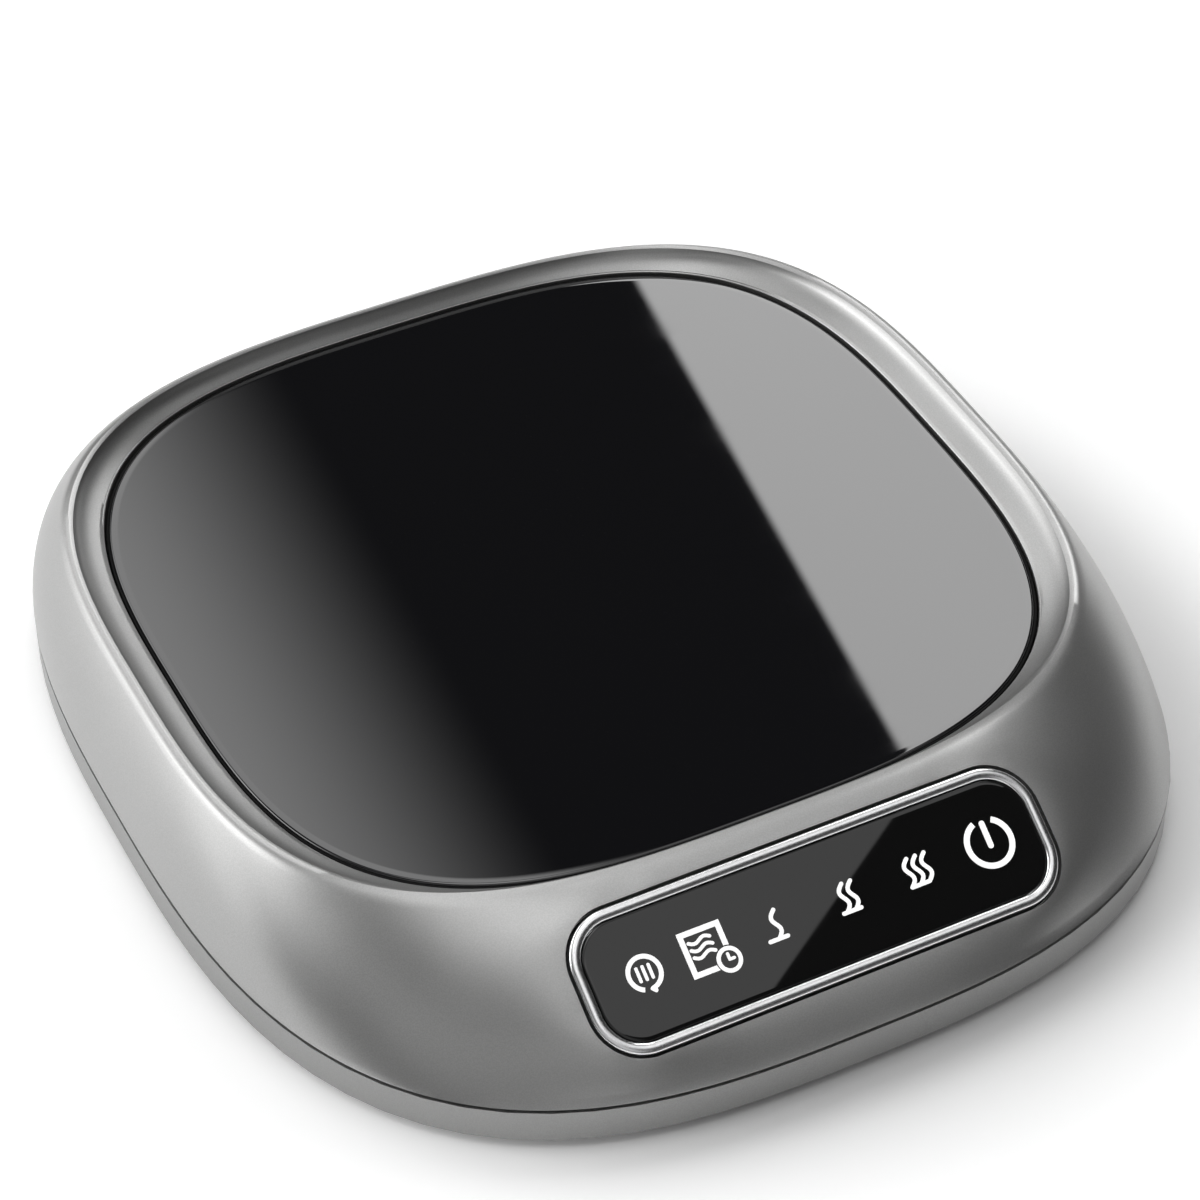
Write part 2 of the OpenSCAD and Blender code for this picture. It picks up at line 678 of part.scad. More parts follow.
module panel_bezel() color([0.88, 0.88, 0.88]) on_panel() difference() {
    round_block(panel_w, panel_h, panel_r, -pocket_depth, bezel_proud);
    round_block(lens_w + 2 * fit, lens_h + 2 * fit, lens_r + fit, bezel_flange - pocket_depth, 6);
    round_block(window_w, window_h, 2, -pocket_depth - over, 0);
}
tape_z = bezel_flange - pocket_depth;
lens_z = tape_z + tape_t;
lens_top = lens_z + lens_t;
module panel_adhesive() color([0.1, 0.1, 0.1]) on_panel() difference() {
    round_block(lens_w - 0.4, lens_h - 0.4, lens_r - 0.2, tape_z, lens_z);
    round_block(window_w, window_h, 2, tape_z - over, lens_z + over);
}
module panel_lens() color([0.02, 0.02, 0.025]) on_panel()
    round_block(lens_w, lens_h, lens_r, lens_z, lens_top);

icon_t = 0.1;
module stroke(a, b, w = icon_line) {
    d = b - a;
    translate(a) rotate(atan2(d[1], d[0])) translate([0, -w / 2]) square([norm(d), w]);
    for (p = [a, b]) translate(p) circle(w / 2);
}
// A line of one full wave that leans to one side, drawn downwards from its top
module wave(h, swing, lean = 0, w = icon_line) {
    n = 20;
    spine = [
        for (i = [0:n]) [-swing * sin(360 * i / n) + lean * (0.5 - i / n), h / 2 - h * i / n]
    ];
    dir = [for (i = [0:n]) unit([-swing * 2 * PI * cos(360 * i / n) - lean, -h])];
    left = [for (i = [0:n]) spine[i] + w / 2 * [dir[i][1], -dir[i][0]]];
    right = [for (i = [n:-1:0]) spine[i] - w / 2 * [dir[i][1], -dir[i][0]]];
    polygon(concat(left, right));
    for (p = [spine[0], spine[n]]) translate(p) circle(w / 2);
}
module line_ring(r, w) difference() {
    circle(r + w / 2);
    circle(r - w / 2);
}
// A ring that is open between two angles
module open_ring(r, w, from, to) difference() {
    line_ring(r, w);
    polygon([[0, 0], for (k = [0:4]) 3 * r * [cos(blend(from, to, k / 4)), sin(blend(from, to, k / 4))]]);
}
// A ring open at its foot, with three bars in it
module heat_icon() {
    r = 2.15;
    bar = 0.85;
    translate([0, 0.2]) {
        open_ring(r, icon_line, -112, -84);
        for (k = [-1:1]) stroke([k * bar, -bar], [k * bar, bar], icon_line * 0.7);
        stroke([0.1 * r, -r], [0.25 * r, -1.16 * r], icon_line * 0.9);
    }
}
// A sheet with three wavy lines, and a clock at its corner
module timer_icon() {
    clock = [2.35, -2.2];
    sheet = [6.0, 6.1];
    border = 1.2 * icon_line;
    translate([0, 0.2]) difference() {
        union() {
            difference() {
                square(sheet, center = true);
                square(sheet - 2 * [border, border], center = true);
            }
            for (k = [0:2]) translate([-0.4, 1.45 - k * 0.97]) rotate(90)
                wave(3.0, 0.28, 0, icon_line * 0.75);
        }
        translate(clock) circle(1.9);
    }
    translate(clock + [0, 0.2]) {
        line_ring(1.45, icon_line * 0.9);
        stroke([0, 0], [0, 0.75], icon_line * 0.65);
        stroke([0, 0], [0.65, 0], icon_line * 0.65);
    }
}
// One, two or three lines of steam over a short bar
module steam_icon(n) {
    gap = 1.28;
    high = 3.7;
    lean = 0.8;
    half_bar = 1.25;
    for (k = [0:n - 1]) translate([(k - (n - 1) / 2) * gap, 0])
        wave(high, 0.55, lean, icon_line * 0.9);
    bar_x = n == 2 ? 0.15 - lean / 2 : -lean / 2;
    stroke([bar_x - half_bar, -high / 2], [bar_x + half_bar, -high / 2], icon_line * 0.9);
}
module power_icon() {
    r = 3.1;
    open_ring(r, icon_line * 1.3, 62, 111);
    stroke([0, -0.13 * r], [0.05, 0.85 * r], icon_line * 1.3);
}
module panel_icons() color([1, 1, 1]) on_panel() translate([0, 0, lens_top])
    linear_extrude(icon_t) {
        translate([icon_x[0], 0]) heat_icon();
        translate([icon_x[1], 0]) timer_icon();
        for (k = [1:3]) translate([icon_x[k + 1], 0]) steam_icon(k);
        translate([icon_x[5], 0]) power_icon();
    }

// Black frame behind the lens, with one cell for each icon
cell_w = touch_spring_d + touch_wire + 1.2;
cell_h = window_h - 3;
module light_shield() color([0.1, 0.1, 0.1]) on_panel() difference() {
    round_block(window_w - 0.4, window_h - 0.4, 1.8, -frame_depth, lens_z - 0.2);
    for (x = icon_x) translate([x, 0]) round_block(cell_w, cell_h, 1, -frame_depth - over, 1);
}
module touch_springs() color([0.85, 0.6, 0.3]) on_panel() for (x = icon_x)
    translate([x, 0, -frame_depth + seat])
        coil(touch_spring_d, touch_wire, touch_turns, lens_z + frame_depth - 2 * seat);
module status_leds() color([1, 0.98, 0.9]) on_panel() for (x = icon_x)
    block([x, 0, -frame_depth], [1.6, 0.8, 0.7]);
module touch_board() color([0.05, 0.3, 0.14]) on_panel() difference() {
    round_block(touch_w, touch_h, 1, -frame_depth - board_t, -frame_depth);
    for (x = [-1, 1]) translate([x * touch_screw_x, 0, -frame_depth - board_t - over])
        cylinder(r = small_r + 0.1, h = board_t + 2 * over);
}
module touch_board_screws() color([0.6, 0.6, 0.62]) on_panel() for (x = [-1, 1])
    screw([x * touch_screw_x, 0], -frame_depth - board_t - 1.2, small_r + 0.9, 1.2,
        small_r - seat, -frame_depth + 1.8);
module touch_chip() color([0.09, 0.09, 0.09]) on_panel()
    block([12, 0, -frame_depth - board_t - 1.3], [7, 7, 1.3]);

// Flat cable from the touch board, down to the floor and back to the power board
module band(path, w) {
    n = len(path) - 1;
    side = [for (k = [0:n]) let (t = along(path, k)) w / 2 * [t[1], -t[0]]];
    polygon(concat([for (k = [0:n]) path[k] + side[k]], [for (k = [n:-1:0]) path[k] - side[k]]));
}
socket_t = 1.6;
socket_back = -frame_depth - board_t - socket_t;
cable_t = 0.3;
cable_start = [
    panel_c[1] - socket_back * sin(slope), panel_c[2] + socket_back * cos(slope)
];
cable_low = floor_z + 0.4;
module ribbon_cable() color([0.85, 0.85, 0.82]) translate([cable_x + ribbon_w / 2, 0, 0])
    rotate([90, 0, -90]) linear_extrude(ribbon_w) {
        y0 = cable_start[0];
        z0 = cable_start[1];
        path = [
            [-y0, z0 - seat], [-y0 - 1.5, cable_low + 1.6], [-y0 - 3, cable_low + 0.3],
            [-y0 - 5, cable_low], [-board_y0 + 3, cable_low], [-board_y0 + 1, cable_low + 0.3],
            [-board_y0 + 0.6, board_top + 0.4], [-board_y0 - 0.4, board_top + board_socket[2] / 2],
            [-board_y0 - board_socket_in + seat, board_top + board_socket[2] / 2]
        ];
        band(path, cable_t);
    }
module ribbon_sockets() color([0.9, 0.88, 0.8]) {
    on_panel() block([cable_x, 0, socket_back], [board_socket[0], 4.4, socket_t]);
    block([cable_x, board_y0 + board_socket_in + board_socket[1] / 2, board_top], board_socket);
}

// ---- electronics in the base ----

module power_board() color([0.05, 0.3, 0.14]) difference() {
    block([0, (board_y0 + board_y1) / 2, board_z], [board_w, board_l, board_t]);
    for (p = board_spots) rod(p, board_z - over, board_top + over, small_r + 0.1);
    block([0, jack_y0 + 20 - fit, board_z - over], [jack_w + 2 * fit, 40, board_t + 2 * over]);
}
module board_screws() color([0.6, 0.6, 0.62]) for (p = board_spots)
    translate([p[0], p[1], board_top + 1.2]) rotate([180, 0, 0])
        screw([0, 0], 0, small_r + 0.9, 1.2, small_r - seat, board_top + 1.2 - floor_z + 0.8);
// What stands on the power board. Places are from the middle of its front edge, and the tall
// pieces end under the clamp.
chip_spot = [4, board_y0 + 16];
chip_size = [7, 7, 1.4];
chip_leg = [1.2, 0.5, 0.5];
leg_pitch = 1.2;
transistor_spot = [18, board_y0 + 20];
transistor_size = [6.6, 6.2, 2.3];
transistor_tab = [5.4, 2, 0.9];
inductor_spot = [-8, board_y0 + 34];
inductor_w = 8;
inductor_corner = 1.5;
capacitor_spot = [8, board_y0 + 34.5];
capacitor_pitch = 9;
capacitor_r = 3.15;
buzzer_spot = [-18, board_y0 + 44];
buzzer_r = 4.5;
buzzer_hole_r = 0.8;
low_top = under_clamp - 0.3;
module control_chip() color([0.09, 0.09, 0.09]) {
    block([chip_spot[0], chip_spot[1], board_top], chip_size);
    for (s = [-1, 1], k = [-2:2])
        block([
            chip_spot[0] + s * (chip_size[0] + chip_leg[0]) / 2 - s * seat,
            chip_spot[1] + k * leg_pitch, board_top
        ], chip_leg);
}
module heater_transistor() color([0.12, 0.12, 0.12]) {
    tab_y = transistor_spot[1] + (transistor_size[1] + transistor_tab[1]) / 2 - seat;
    block([transistor_spot[0], transistor_spot[1], board_top], transistor_size);
    block([transistor_spot[0], tab_y, board_top], transistor_tab);
}
module power_inductor() color([0.25, 0.25, 0.26])
    translate([inductor_spot[0], inductor_spot[1], board_top])
        linear_extrude(low_top - board_top) round_rect(inductor_w, inductor_w, inductor_corner);
module filter_capacitors() color([0.7, 0.71, 0.73]) for (k = [-0.5, 0.5])
    rod([capacitor_spot[0], capacitor_spot[1] + k * capacitor_pitch],
        board_top, under_clamp, capacitor_r);
module buzzer() color([0.1, 0.1, 0.1]) difference() {
    rod(buzzer_spot, board_top, low_top, buzzer_r);
    rod(buzzer_spot, low_top - 1, low_top + over, buzzer_hole_r);
}
// Block with two sockets that the ends of the heater's leads lie in
module heater_terminals() color([0.2, 0.45, 0.25]) difference() {
    block([lead_x + lead_pitch / 2, lead_y1 + terminal_size[1] / 2, board_top],
        [terminal_size[0], terminal_size[1], terminal_top - board_top]);
    for (k = [0, 1]) translate([lead_x + k * lead_pitch, lead_y1 - over, lead_low])
        rotate([-90, 0, 0]) cylinder(r = lead_r + seat, h = over + terminal_in + fit);
}

module switch_body() color([0.12, 0.12, 0.13]) difference() {
    block([switch_spot[0], switch_spot[1], board_top], switch_size);
    rod(switch_spot, plunger_bottom - plate_travel - 0.2, switch_top + over, plunger_r + 0.06);
}
module switch_plunger() color([0.85, 0.8, 0.7])
    rod(switch_spot, plunger_bottom, plunger_top, plunger_r);

// ---- power inlet ----

socket_depth = 9.2;
pin_root = 0.4;
module along_y(y0, y1, r) translate([0, y0, jack_mid]) rotate([-90, 0, 0])
    cylinder(r = r, h = y1 - y0);
module dc_inlet() color([0.07, 0.07, 0.07]) {
    difference() {
        block([0, (jack_y0 + jack_y1) / 2, jack_z], [jack_w, jack_l, jack_h]);
        along_y(jack_y1 - socket_depth, jack_y1 + over, socket_d / 2);
        along_y(jack_y0 - over, jack_y1, pin_d / 2 + pin_root + 0.01);
    }
    for (x = [-1, 1]) block([x * (jack_w / 2 + 1), jack_y0 + 3, board_top], [2, 2.4, 0.5]);
}
module inlet_pin() color([0.85, 0.82, 0.7]) {
    along_y(jack_y0, jack_y1 - socket_depth, pin_d / 2 + pin_root);
    along_y(jack_y1 - socket_depth, jack_y1 - 1, pin_d / 2);
}
module inlet_frame() color([0.08, 0.08, 0.08]) difference() {
    union() {
        block([0, frame_y0 + frame_t / 2, floor_z], [notch_w - 2 * fit, frame_t, notch_z - floor_z - fit]);
        block([0, frame_y0 + frame_t / 2, floor_z], [2 * wing_x, frame_t, wing_h]);
    }
    block([0, frame_y0 + frame_t / 2, jack_z - fit], [jack_w + 2 * fit, 4, jack_h + 2 * fit]);
}

top_housing();
base_cover();
rubber_feet();
housing_screws();
glass_plate();
plate_seal();
heat_spreader();
heating_foil();
mica_sheet();
insulation_pad();
heater_clamp();
clamp_screws();
plate_carrier();
guide_posts();
return_springs();
thermal_fuse();
fuse_clip();
heat_sensor();
sensor_clip();
heater_leads();
panel_bezel();
panel_lens();
panel_icons();
panel_adhesive();
light_shield();
touch_springs();
status_leds();
touch_board();
touch_chip();
touch_board_screws();
ribbon_cable();
ribbon_sockets();
power_board();
board_screws();
control_chip();
heater_transistor();
power_inductor();
filter_capacitors();
buzzer();
heater_terminals();
switch_body();
switch_plunger();
dc_inlet();
inlet_pin();
inlet_frame();
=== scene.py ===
import json
import math
import bmesh
import bpy
import numpy
from mathutils import Matrix, Quaternion, Vector

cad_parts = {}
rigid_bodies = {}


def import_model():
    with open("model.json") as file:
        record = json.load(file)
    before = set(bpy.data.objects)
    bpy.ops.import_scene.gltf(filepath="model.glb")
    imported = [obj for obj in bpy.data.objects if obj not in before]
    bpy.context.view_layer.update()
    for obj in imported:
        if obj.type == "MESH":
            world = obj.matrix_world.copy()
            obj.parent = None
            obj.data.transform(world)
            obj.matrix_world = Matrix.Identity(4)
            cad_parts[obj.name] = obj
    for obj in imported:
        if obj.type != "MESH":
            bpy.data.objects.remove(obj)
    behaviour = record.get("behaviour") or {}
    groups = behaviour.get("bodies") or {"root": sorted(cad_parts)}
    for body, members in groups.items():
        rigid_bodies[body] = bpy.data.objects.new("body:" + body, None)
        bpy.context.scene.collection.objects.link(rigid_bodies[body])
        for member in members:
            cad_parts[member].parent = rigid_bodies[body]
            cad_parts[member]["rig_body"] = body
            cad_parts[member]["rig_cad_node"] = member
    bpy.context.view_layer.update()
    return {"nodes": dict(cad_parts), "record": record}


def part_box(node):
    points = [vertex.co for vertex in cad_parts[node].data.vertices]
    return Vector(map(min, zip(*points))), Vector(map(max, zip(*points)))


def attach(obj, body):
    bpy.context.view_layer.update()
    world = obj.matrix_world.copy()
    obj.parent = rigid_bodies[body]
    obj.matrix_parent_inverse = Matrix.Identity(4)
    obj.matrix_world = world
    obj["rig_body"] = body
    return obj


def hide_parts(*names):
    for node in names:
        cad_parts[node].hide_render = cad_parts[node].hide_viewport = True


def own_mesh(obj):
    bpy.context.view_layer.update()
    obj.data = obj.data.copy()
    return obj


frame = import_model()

bpy.ops.object.select_all(action="DESELECT")
mm = 0.001  # lengths below are in millimetres, and become metres in a mesh


# Outlines: a loop is (half width, half depth, squareness, centre y, height)

def mixed(a, b, share):
    return tuple(p + (q - p) * share for p, q in zip(a, b))


def grown(loop, by):
    return (loop[0] + by, loop[1] + by) + tuple(loop[2:])


def atHeight(loop, z):
    return tuple(loop[:4]) + (z,)


def pointOn(loop, degrees):
    c, s = math.cos(math.radians(degrees)), math.sin(math.radians(degrees))
    power = loop[2]
    reach = ((abs(c) / loop[0]) ** power + (abs(s) / loop[1]) ** power) ** (-1 / power)
    return Vector((reach * c, loop[3] + reach * s, loop[4]))


def ringOf(loop, steps):
    return [pointOn(loop, 360 * i / steps) for i in range(steps)]


def ease(share):
    share = min(max(share, 0), 1)
    return share * share * (3 - 2 * share)


body = {
    "squareness": 2.9,
    "sideRun": 5.7,  # how far the rim lies inside the seam
    "frontRun": 25.6,
    "backRun": 12.4,
    "bulge": 1.2,  # how far the side stands out, halfway up, from a straight slope
    "bandHeight": 5.5,
    "seamGap": 0.4,
    "wallUp": 1.2,  # the inner face is the outer one from this much higher,
    "wallIn": 1.7,  # drawn in by this much
    "rimSquareness": 3.15,
    "lipSide": 5.8,  # width of the dish's lip
    "lipFront": 2.5,
    "lipBack": 2.3,
    "glassSquareness": 3.15,
    "lipOverGlass": 0.15,
    "steps": 320,
}
baseLow, baseHigh = [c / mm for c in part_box("base_cover")]
glassLow, glassHigh = [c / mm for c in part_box("glass_plate")]
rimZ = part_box("top_housing")[1].z / mm
baseZ = baseLow.z
seamZ = baseZ + body["bandHeight"]
seamLoop = (baseHigh.x, baseHigh.y, body["squareness"], 0, seamZ)
rimFront = body["frontRun"] - baseHigh.y
rimBack = baseHigh.y - body["backRun"]
rimLoop = (
    baseHigh.x - body["sideRun"], (rimBack - rimFront) / 2, body["rimSquareness"],
    (rimBack + rimFront) / 2, rimZ,
)
mouthFront = rimFront + body["lipFront"]
mouthBack = rimBack - body["lipBack"]
mouthLoop = (
    rimLoop[0] - body["lipSide"], (mouthBack - mouthFront) / 2, body["glassSquareness"],
    (mouthBack + mouthFront) / 2, glassHigh.z + body["lipOverGlass"],
)
glassLoop = (
    glassHigh.x, (glassHigh.y - glassLow.y) / 2, body["glassSquareness"],
    (glassHigh.y + glassLow.y) / 2, glassHigh.z,
)


def bulge(share):
    return 4 * body["bulge"] * share * (1 - share)


def flank(z):
    share = (z - seamZ) / (rimZ - seamZ)
    return grown(mixed(seamLoop, rimLoop, share), bulge(share))


def innerFace(z):
    return atHeight(grown(flank(z + body["wallUp"]), -body["wallIn"]), z)


# The touch panel lies on a flat place of the front slope

panel = {
    "width": 67.5,
    "height": 19.7,
    "corner": 7.0,
    "cornerSteps": 14,
    "tightest": 0.4,  # no corner gets a smaller radius
    "up": 16.6,  # from the seam to the panel's middle, along the slope
    "margin": 0.6,
    "reach": 62,  # degrees to each side of the front where the skin may be lifted
    "tension": 0.012,  # how much the lifted skin resists stretching beside bending
    "pocketGap": 0.2,
    "pocketDepth": 2.4,
    "pocketPlay": 0.05,  # under what stands in the pocket
    "pocketOpening": 5,  # how far the pocket's cutter stands up
    "frameDepth": 5.2,
    "frameMargin": 1.3,
    "frameOverlap": 0.4,  # how far the frame reaches up past the pocket's floor
    "windowIn": 3.2,
    "windowCorner": 2,
}
slope = math.atan2(rimZ - seamZ, body["frontRun"])
panelUp = Vector((0, math.cos(slope), math.sin(slope)))
panelOut = Vector((0, -math.sin(slope), math.cos(slope)))
panelShare = panel["up"] * math.sin(slope) / (rimZ - seamZ)
panelLift = bulge(panelShare) * math.sin(slope)
panelMiddle = Vector((0, -baseHigh.y, seamZ)) + panelUp * panel["up"] + panelOut * panelLift


def underPanel(point):
    away = point - panelMiddle
    corner = panel["corner"] + panel["margin"]
    side = abs(away.x) - panel["width"] / 2 - panel["margin"] + corner
    up = abs(away.dot(panelUp)) - panel["height"] / 2 - panel["margin"] + corner
    return math.hypot(max(side, 0), max(up, 0)) <= corner


# Lifts the skin onto the panel's plane. It fades into the slope with the least bending, and
# the first and last rings stay where they are
def liftedOntoPanel(rings):
    steps = len(rings[0])
    columns = [i for i in range(steps) if abs(360 * i / steps - 270) < panel["reach"]]
    rows, wide = len(rings), len(columns)
    spot = numpy.array([[rings[r][i][:] for i in columns] for r in range(rows)])
    along = numpy.linalg.norm(numpy.diff(spot, axis=1), axis=2)
    across = numpy.linalg.norm(numpy.diff(spot, axis=0), axis=2)
    lift = numpy.zeros((rows, wide))
    free = numpy.zeros((rows, wide), bool)
    free[1:-1, 2:-2] = True
    for r in range(1, rows - 1):
        for c in range(2, wide - 2):
            point = rings[r][columns[c]]
            if underPanel(point):
                lift[r, c] = (panelMiddle - point).dot(panelOut)
                free[r, c] = False
    stiff = numpy.zeros((rows * wide, rows * wide))

    def resist(cells, weights, scale):
        index = [r * wide + c for r, c in cells]
        stiff[numpy.ix_(index, index)] += scale * numpy.outer(weights, weights)

    for r in range(rows):
        for c in range(wide):
            a = along[r, min(c, wide - 2)]
            b = across[min(r, rows - 2), c]
            if c + 1 < wide:
                resist(((r, c), (r, c + 1)), (-1 / a, 1 / a), panel["tension"] * a * b)
            if r + 1 < rows:
                resist(((r, c), (r + 1, c)), (-1 / b, 1 / b), panel["tension"] * a * b)
            if 0 < c < wide - 1:
                before = along[r, c - 1]
                half = (a + before) / 2
                resist(((r, c - 1), (r, c), (r, c + 1)),
                       (1 / before / half, -(1 / before + 1 / a) / half, 1 / a / half), half * b)
            if 0 < r < rows - 1:
                before = across[r - 1, c]
                half = (b + before) / 2
                resist(((r - 1, c), (r, c), (r + 1, c)),
                       (1 / before / half, -(1 / before + 1 / b) / half, 1 / b / half), half * a)
            if c + 1 < wide and r + 1 < rows:
                twist = 1 / (a * b)
                resist(((r, c), (r, c + 1), (r + 1, c), (r + 1, c + 1)),
                       (twist, -twist, -twist, twist), 2 * a * b)
    loose = numpy.flatnonzero(free)
    held = numpy.flatnonzero(~free)
    flat = lift.ravel()
    pull = stiff[numpy.ix_(loose, held)] @ flat[held]
    flat[loose] = numpy.linalg.solve(stiff[numpy.ix_(loose, loose)], -pull)
    lifted = [list(ring) for ring in rings]
    for r in range(rows):
        for c in range(wide):
            lifted[r][columns[c]] = rings[r][columns[c]] + panelOut * float(flat[r * wide + c])
    return lifted


# Modelling helpers

def activate(piece):
    bpy.ops.object.select_all(action="DESELECT")
    piece.select_set(True)
    bpy.context.view_layer.objects.active = piece


def applyModifier(piece, kind, **settings):
    activate(piece)
    bpy.ops.object.modifier_add(type=kind)
    modifier = piece.modifiers[-1]
    for key, value in settings.items():
        setattr(modifier, key, value)
    bpy.ops.object.modifier_apply(modifier=modifier.name)


def cut(piece, cutter, operation="DIFFERENCE"):
    applyModifier(piece, "BOOLEAN", object=cutter, operation=operation, solver="EXACT")
    bpy.data.objects.remove(cutter)


def smooth(piece, degrees):
    activate(piece)
    bpy.ops.object.shade_smooth_by_angle(angle=math.radians(degrees))


# A skin through rings of points: a circle is added, and its edge is extruded from ring to ring
def loft(name, rings, closed=False):
    count = len(rings[0])
    bpy.ops.object.select_all(action="DESELECT")
    bpy.ops.mesh.primitive_circle_add(vertices=count, radius=1)
    piece = bpy.context.object
    piece.name = name
    bpy.ops.object.mode_set(mode="EDIT")
    bpy.ops.mesh.select_all(action="SELECT")
    mesh = bmesh.from_edit_mesh(piece.data)
    for vertex, point in zip(mesh.verts, rings[0]):
        vertex.co = point * mm
    previous = rings[0]
    for ring in rings[1:] + ([rings[0]] if closed else []):
        bpy.ops.mesh.extrude_edges_move()
        mesh = bmesh.from_edit_mesh(piece.data)
        place = {tuple(round(c * mm, 7) for c in p): i for i, p in enumerate(previous)}
        for vertex in [v for v in mesh.verts if v.select]:
            key = tuple(round(c, 7) for c in vertex.co)
            index = place.get(key)
            if index is None:
                index = min(range(count), key=lambda i: (previous[i] * mm - vertex.co).length)
            vertex.co = ring[index] * mm
        previous = ring
    bmesh.update_edit_mesh(piece.data)
    if closed:
        bpy.ops.mesh.select_all(action="SELECT")
        bpy.ops.mesh.remove_doubles(threshold=1e-7)
    else:
        bpy.ops.mesh.edge_face_add()
        bpy.ops.mesh.select_all(action="DESELECT")
        mesh = bmesh.from_edit_mesh(piece.data)
        for edge in mesh.edges:
            if edge.is_boundary:
                edge.select = True
        bmesh.update_edit_mesh(piece.data)
        bpy.ops.mesh.edge_face_add()
    bpy.ops.mesh.select_all(action="SELECT")
    bpy.ops.mesh.normals_make_consistent(inside=False)
    bpy.ops.object.mode_set(mode="OBJECT")
    return piece


def rod(name, middle, z0, z1, radius, vertices):
    bpy.ops.object.select_all(action="DESELECT")
    bpy.ops.mesh.primitive_cylinder_add(
        vertices=vertices, radius=radius * mm, depth=(z1 - z0) * mm,
        location=(middle[0] * mm, middle[1] * mm, (z0 + z1) / 2 * mm),
    )
    piece = bpy.context.object
    piece.name = name
    bpy.ops.object.transform_apply(location=True, rotation=True, scale=True)
    return piece


def block(name, low, high):
    bpy.ops.object.select_all(action="DESELECT")
    middle = (Vector(low) + Vector(high)) / 2 * mm
    bpy.ops.mesh.primitive_cube_add(size=1, location=middle)
    piece = bpy.context.object
    piece.name = name
    piece.scale = (Vector(high) - Vector(low)) * mm
    bpy.ops.object.transform_apply(location=True, rotation=True, scale=True)
    return piece


def roundedRing(width, height, corner, z):
    ring = []
    steps = panel["cornerSteps"]
    for quarter, (sx, sy) in enumerate(((1, 1), (-1, 1), (-1, -1), (1, -1))):
        for i in range(steps + 1):
            angle = math.radians(90 * quarter + 90 * i / steps)
            ring.append(Vector((
                sx * (width / 2 - corner) + corner * math.cos(angle),
                sy * (height / 2 - corner) + corner * math.sin(angle),
                z,
            )))
    return ring


# A rounded plate from (inset, height) steps, drawn flat and then laid on the slope
def panelLoft(name, width, height, corner, profile, closed=False):
    rings = [
        roundedRing(
            width - 2 * inset, height - 2 * inset, max(corner - inset, panel["tightest"]), z
        )
        for inset, z in profile
    ]
    return layOnPanel(loft(name, rings, closed))


def layOnPanel(piece):
    activate(piece)
    piece.location = panelMiddle * mm
    piece.rotation_euler = (slope, 0, 0)
    bpy.ops.object.transform_apply(location=True, rotation=True, scale=True)
    return piece


# Shader maths: a wire holds one output socket, and expressions on it add Math nodes

class Wire:
    def __init__(self, finish, socket):
        self.finish = finish
        self.socket = socket

    def math(self, operation, other, reverse=False):
        first, second = (other, self) if reverse else (self, other)
        return self.finish.add("ShaderNodeMath", {"operation": operation}, {0: first, 1: second})

    def __add__(self, other): return self.math("ADD", other)
    def __radd__(self, other): return self.math("ADD", other, True)
    def __sub__(self, other): return self.math("SUBTRACT", other)
    def __rsub__(self, other): return self.math("SUBTRACT", other, True)
    def __mul__(self, other): return self.math("MULTIPLY", other)
    def __rmul__(self, other): return self.math("MULTIPLY", other, True)
    def __truediv__(self, other): return self.math("DIVIDE", other)


class Finish:
    def __init__(self, name, tree=None):
        self.material = None
        if tree is None:
            self.material = bpy.data.materials.new(name)
            self.material.use_nodes = True
            tree = self.material.node_tree
        self.tree = tree
        self.tree.nodes.clear()

    def add(self, kind, settings=None, sockets=None, out=0):
        node = self.tree.nodes.new(kind)
        for key, value in (settings or {}).items():
            setattr(node, key, value)
        for key, value in (sockets or {}).items():
            if isinstance(value, Wire):
                self.tree.links.new(value.socket, node.inputs[key])
            else:
                node.inputs[key].default_value = value
        return Wire(self, node.outputs[out]) if node.outputs else None

    def place(self, stretch=(1, 1, 1), turn=(0, 0, 0)):
        coordinate = self.add("ShaderNodeTexCoord", out="Object")
        if stretch == (1, 1, 1) and turn == (0, 0, 0):
            return coordinate
        return self.add("ShaderNodeMapping", {}, {
            "Vector": coordinate, "Scale": stretch, "Rotation": turn,
        })

    # The size is in millimetres, detail and roughness are the node's own
    def noise(self, size, detail, rough, vector=None):
        return self.add("ShaderNodeTexNoise", {}, {
            "Vector": vector or self.place(), "Scale": 1 / (size * mm),
            "Detail": detail, "Roughness": rough,
        })

    def band(self, value, low, high, outLow=0, outHigh=1):
        return self.add("ShaderNodeMapRange", {"interpolation_type": "SMOOTHSTEP"}, {
            "Value": value, "From Min": low, "From Max": high, "To Min": outLow, "To Max": outHigh,
        })

    def blend(self, share, colourA, colourB):
        return self.add("ShaderNodeMix", {"data_type": "RGBA"}, {
            0: share, 6: colourA, 7: colourB,
        }, 2)

    def bump(self, height, distance, strength):
        return self.add("ShaderNodeBump", {}, {
            "Height": height, "Distance": distance * mm, "Strength": strength,
        })

    def surface(self, **sockets):
        names = {key.replace("_", " "): value for key, value in sockets.items()}
        shader = self.add("ShaderNodeBsdfPrincipled", {}, names)
        self.add("ShaderNodeOutputMaterial", {}, {"Surface": shader})
        return self.material


def grey(value):
    return (value, value, value, 1)


def tinted(r, g, b):
    return (r, g, b, 1)


def toned(colour, factor, added=0):
    return tuple(min(c * factor + added, 1) for c in colour[:3]) + (1,)


# Metallic lacquer: fine flakes, faint unevenness and a soft sheen

lacquerLook = {
    "flakeSize": 0.16,
    "driftSize": 26,
    "flakeShade": 0.66,
    "driftShade": 0.275,
    "dark": 0.92,
    "light": 1.10,
    "flakeRough": 0.03,
    "driftRough": 0.05,
    "relief": (0.012, 0.35),
}


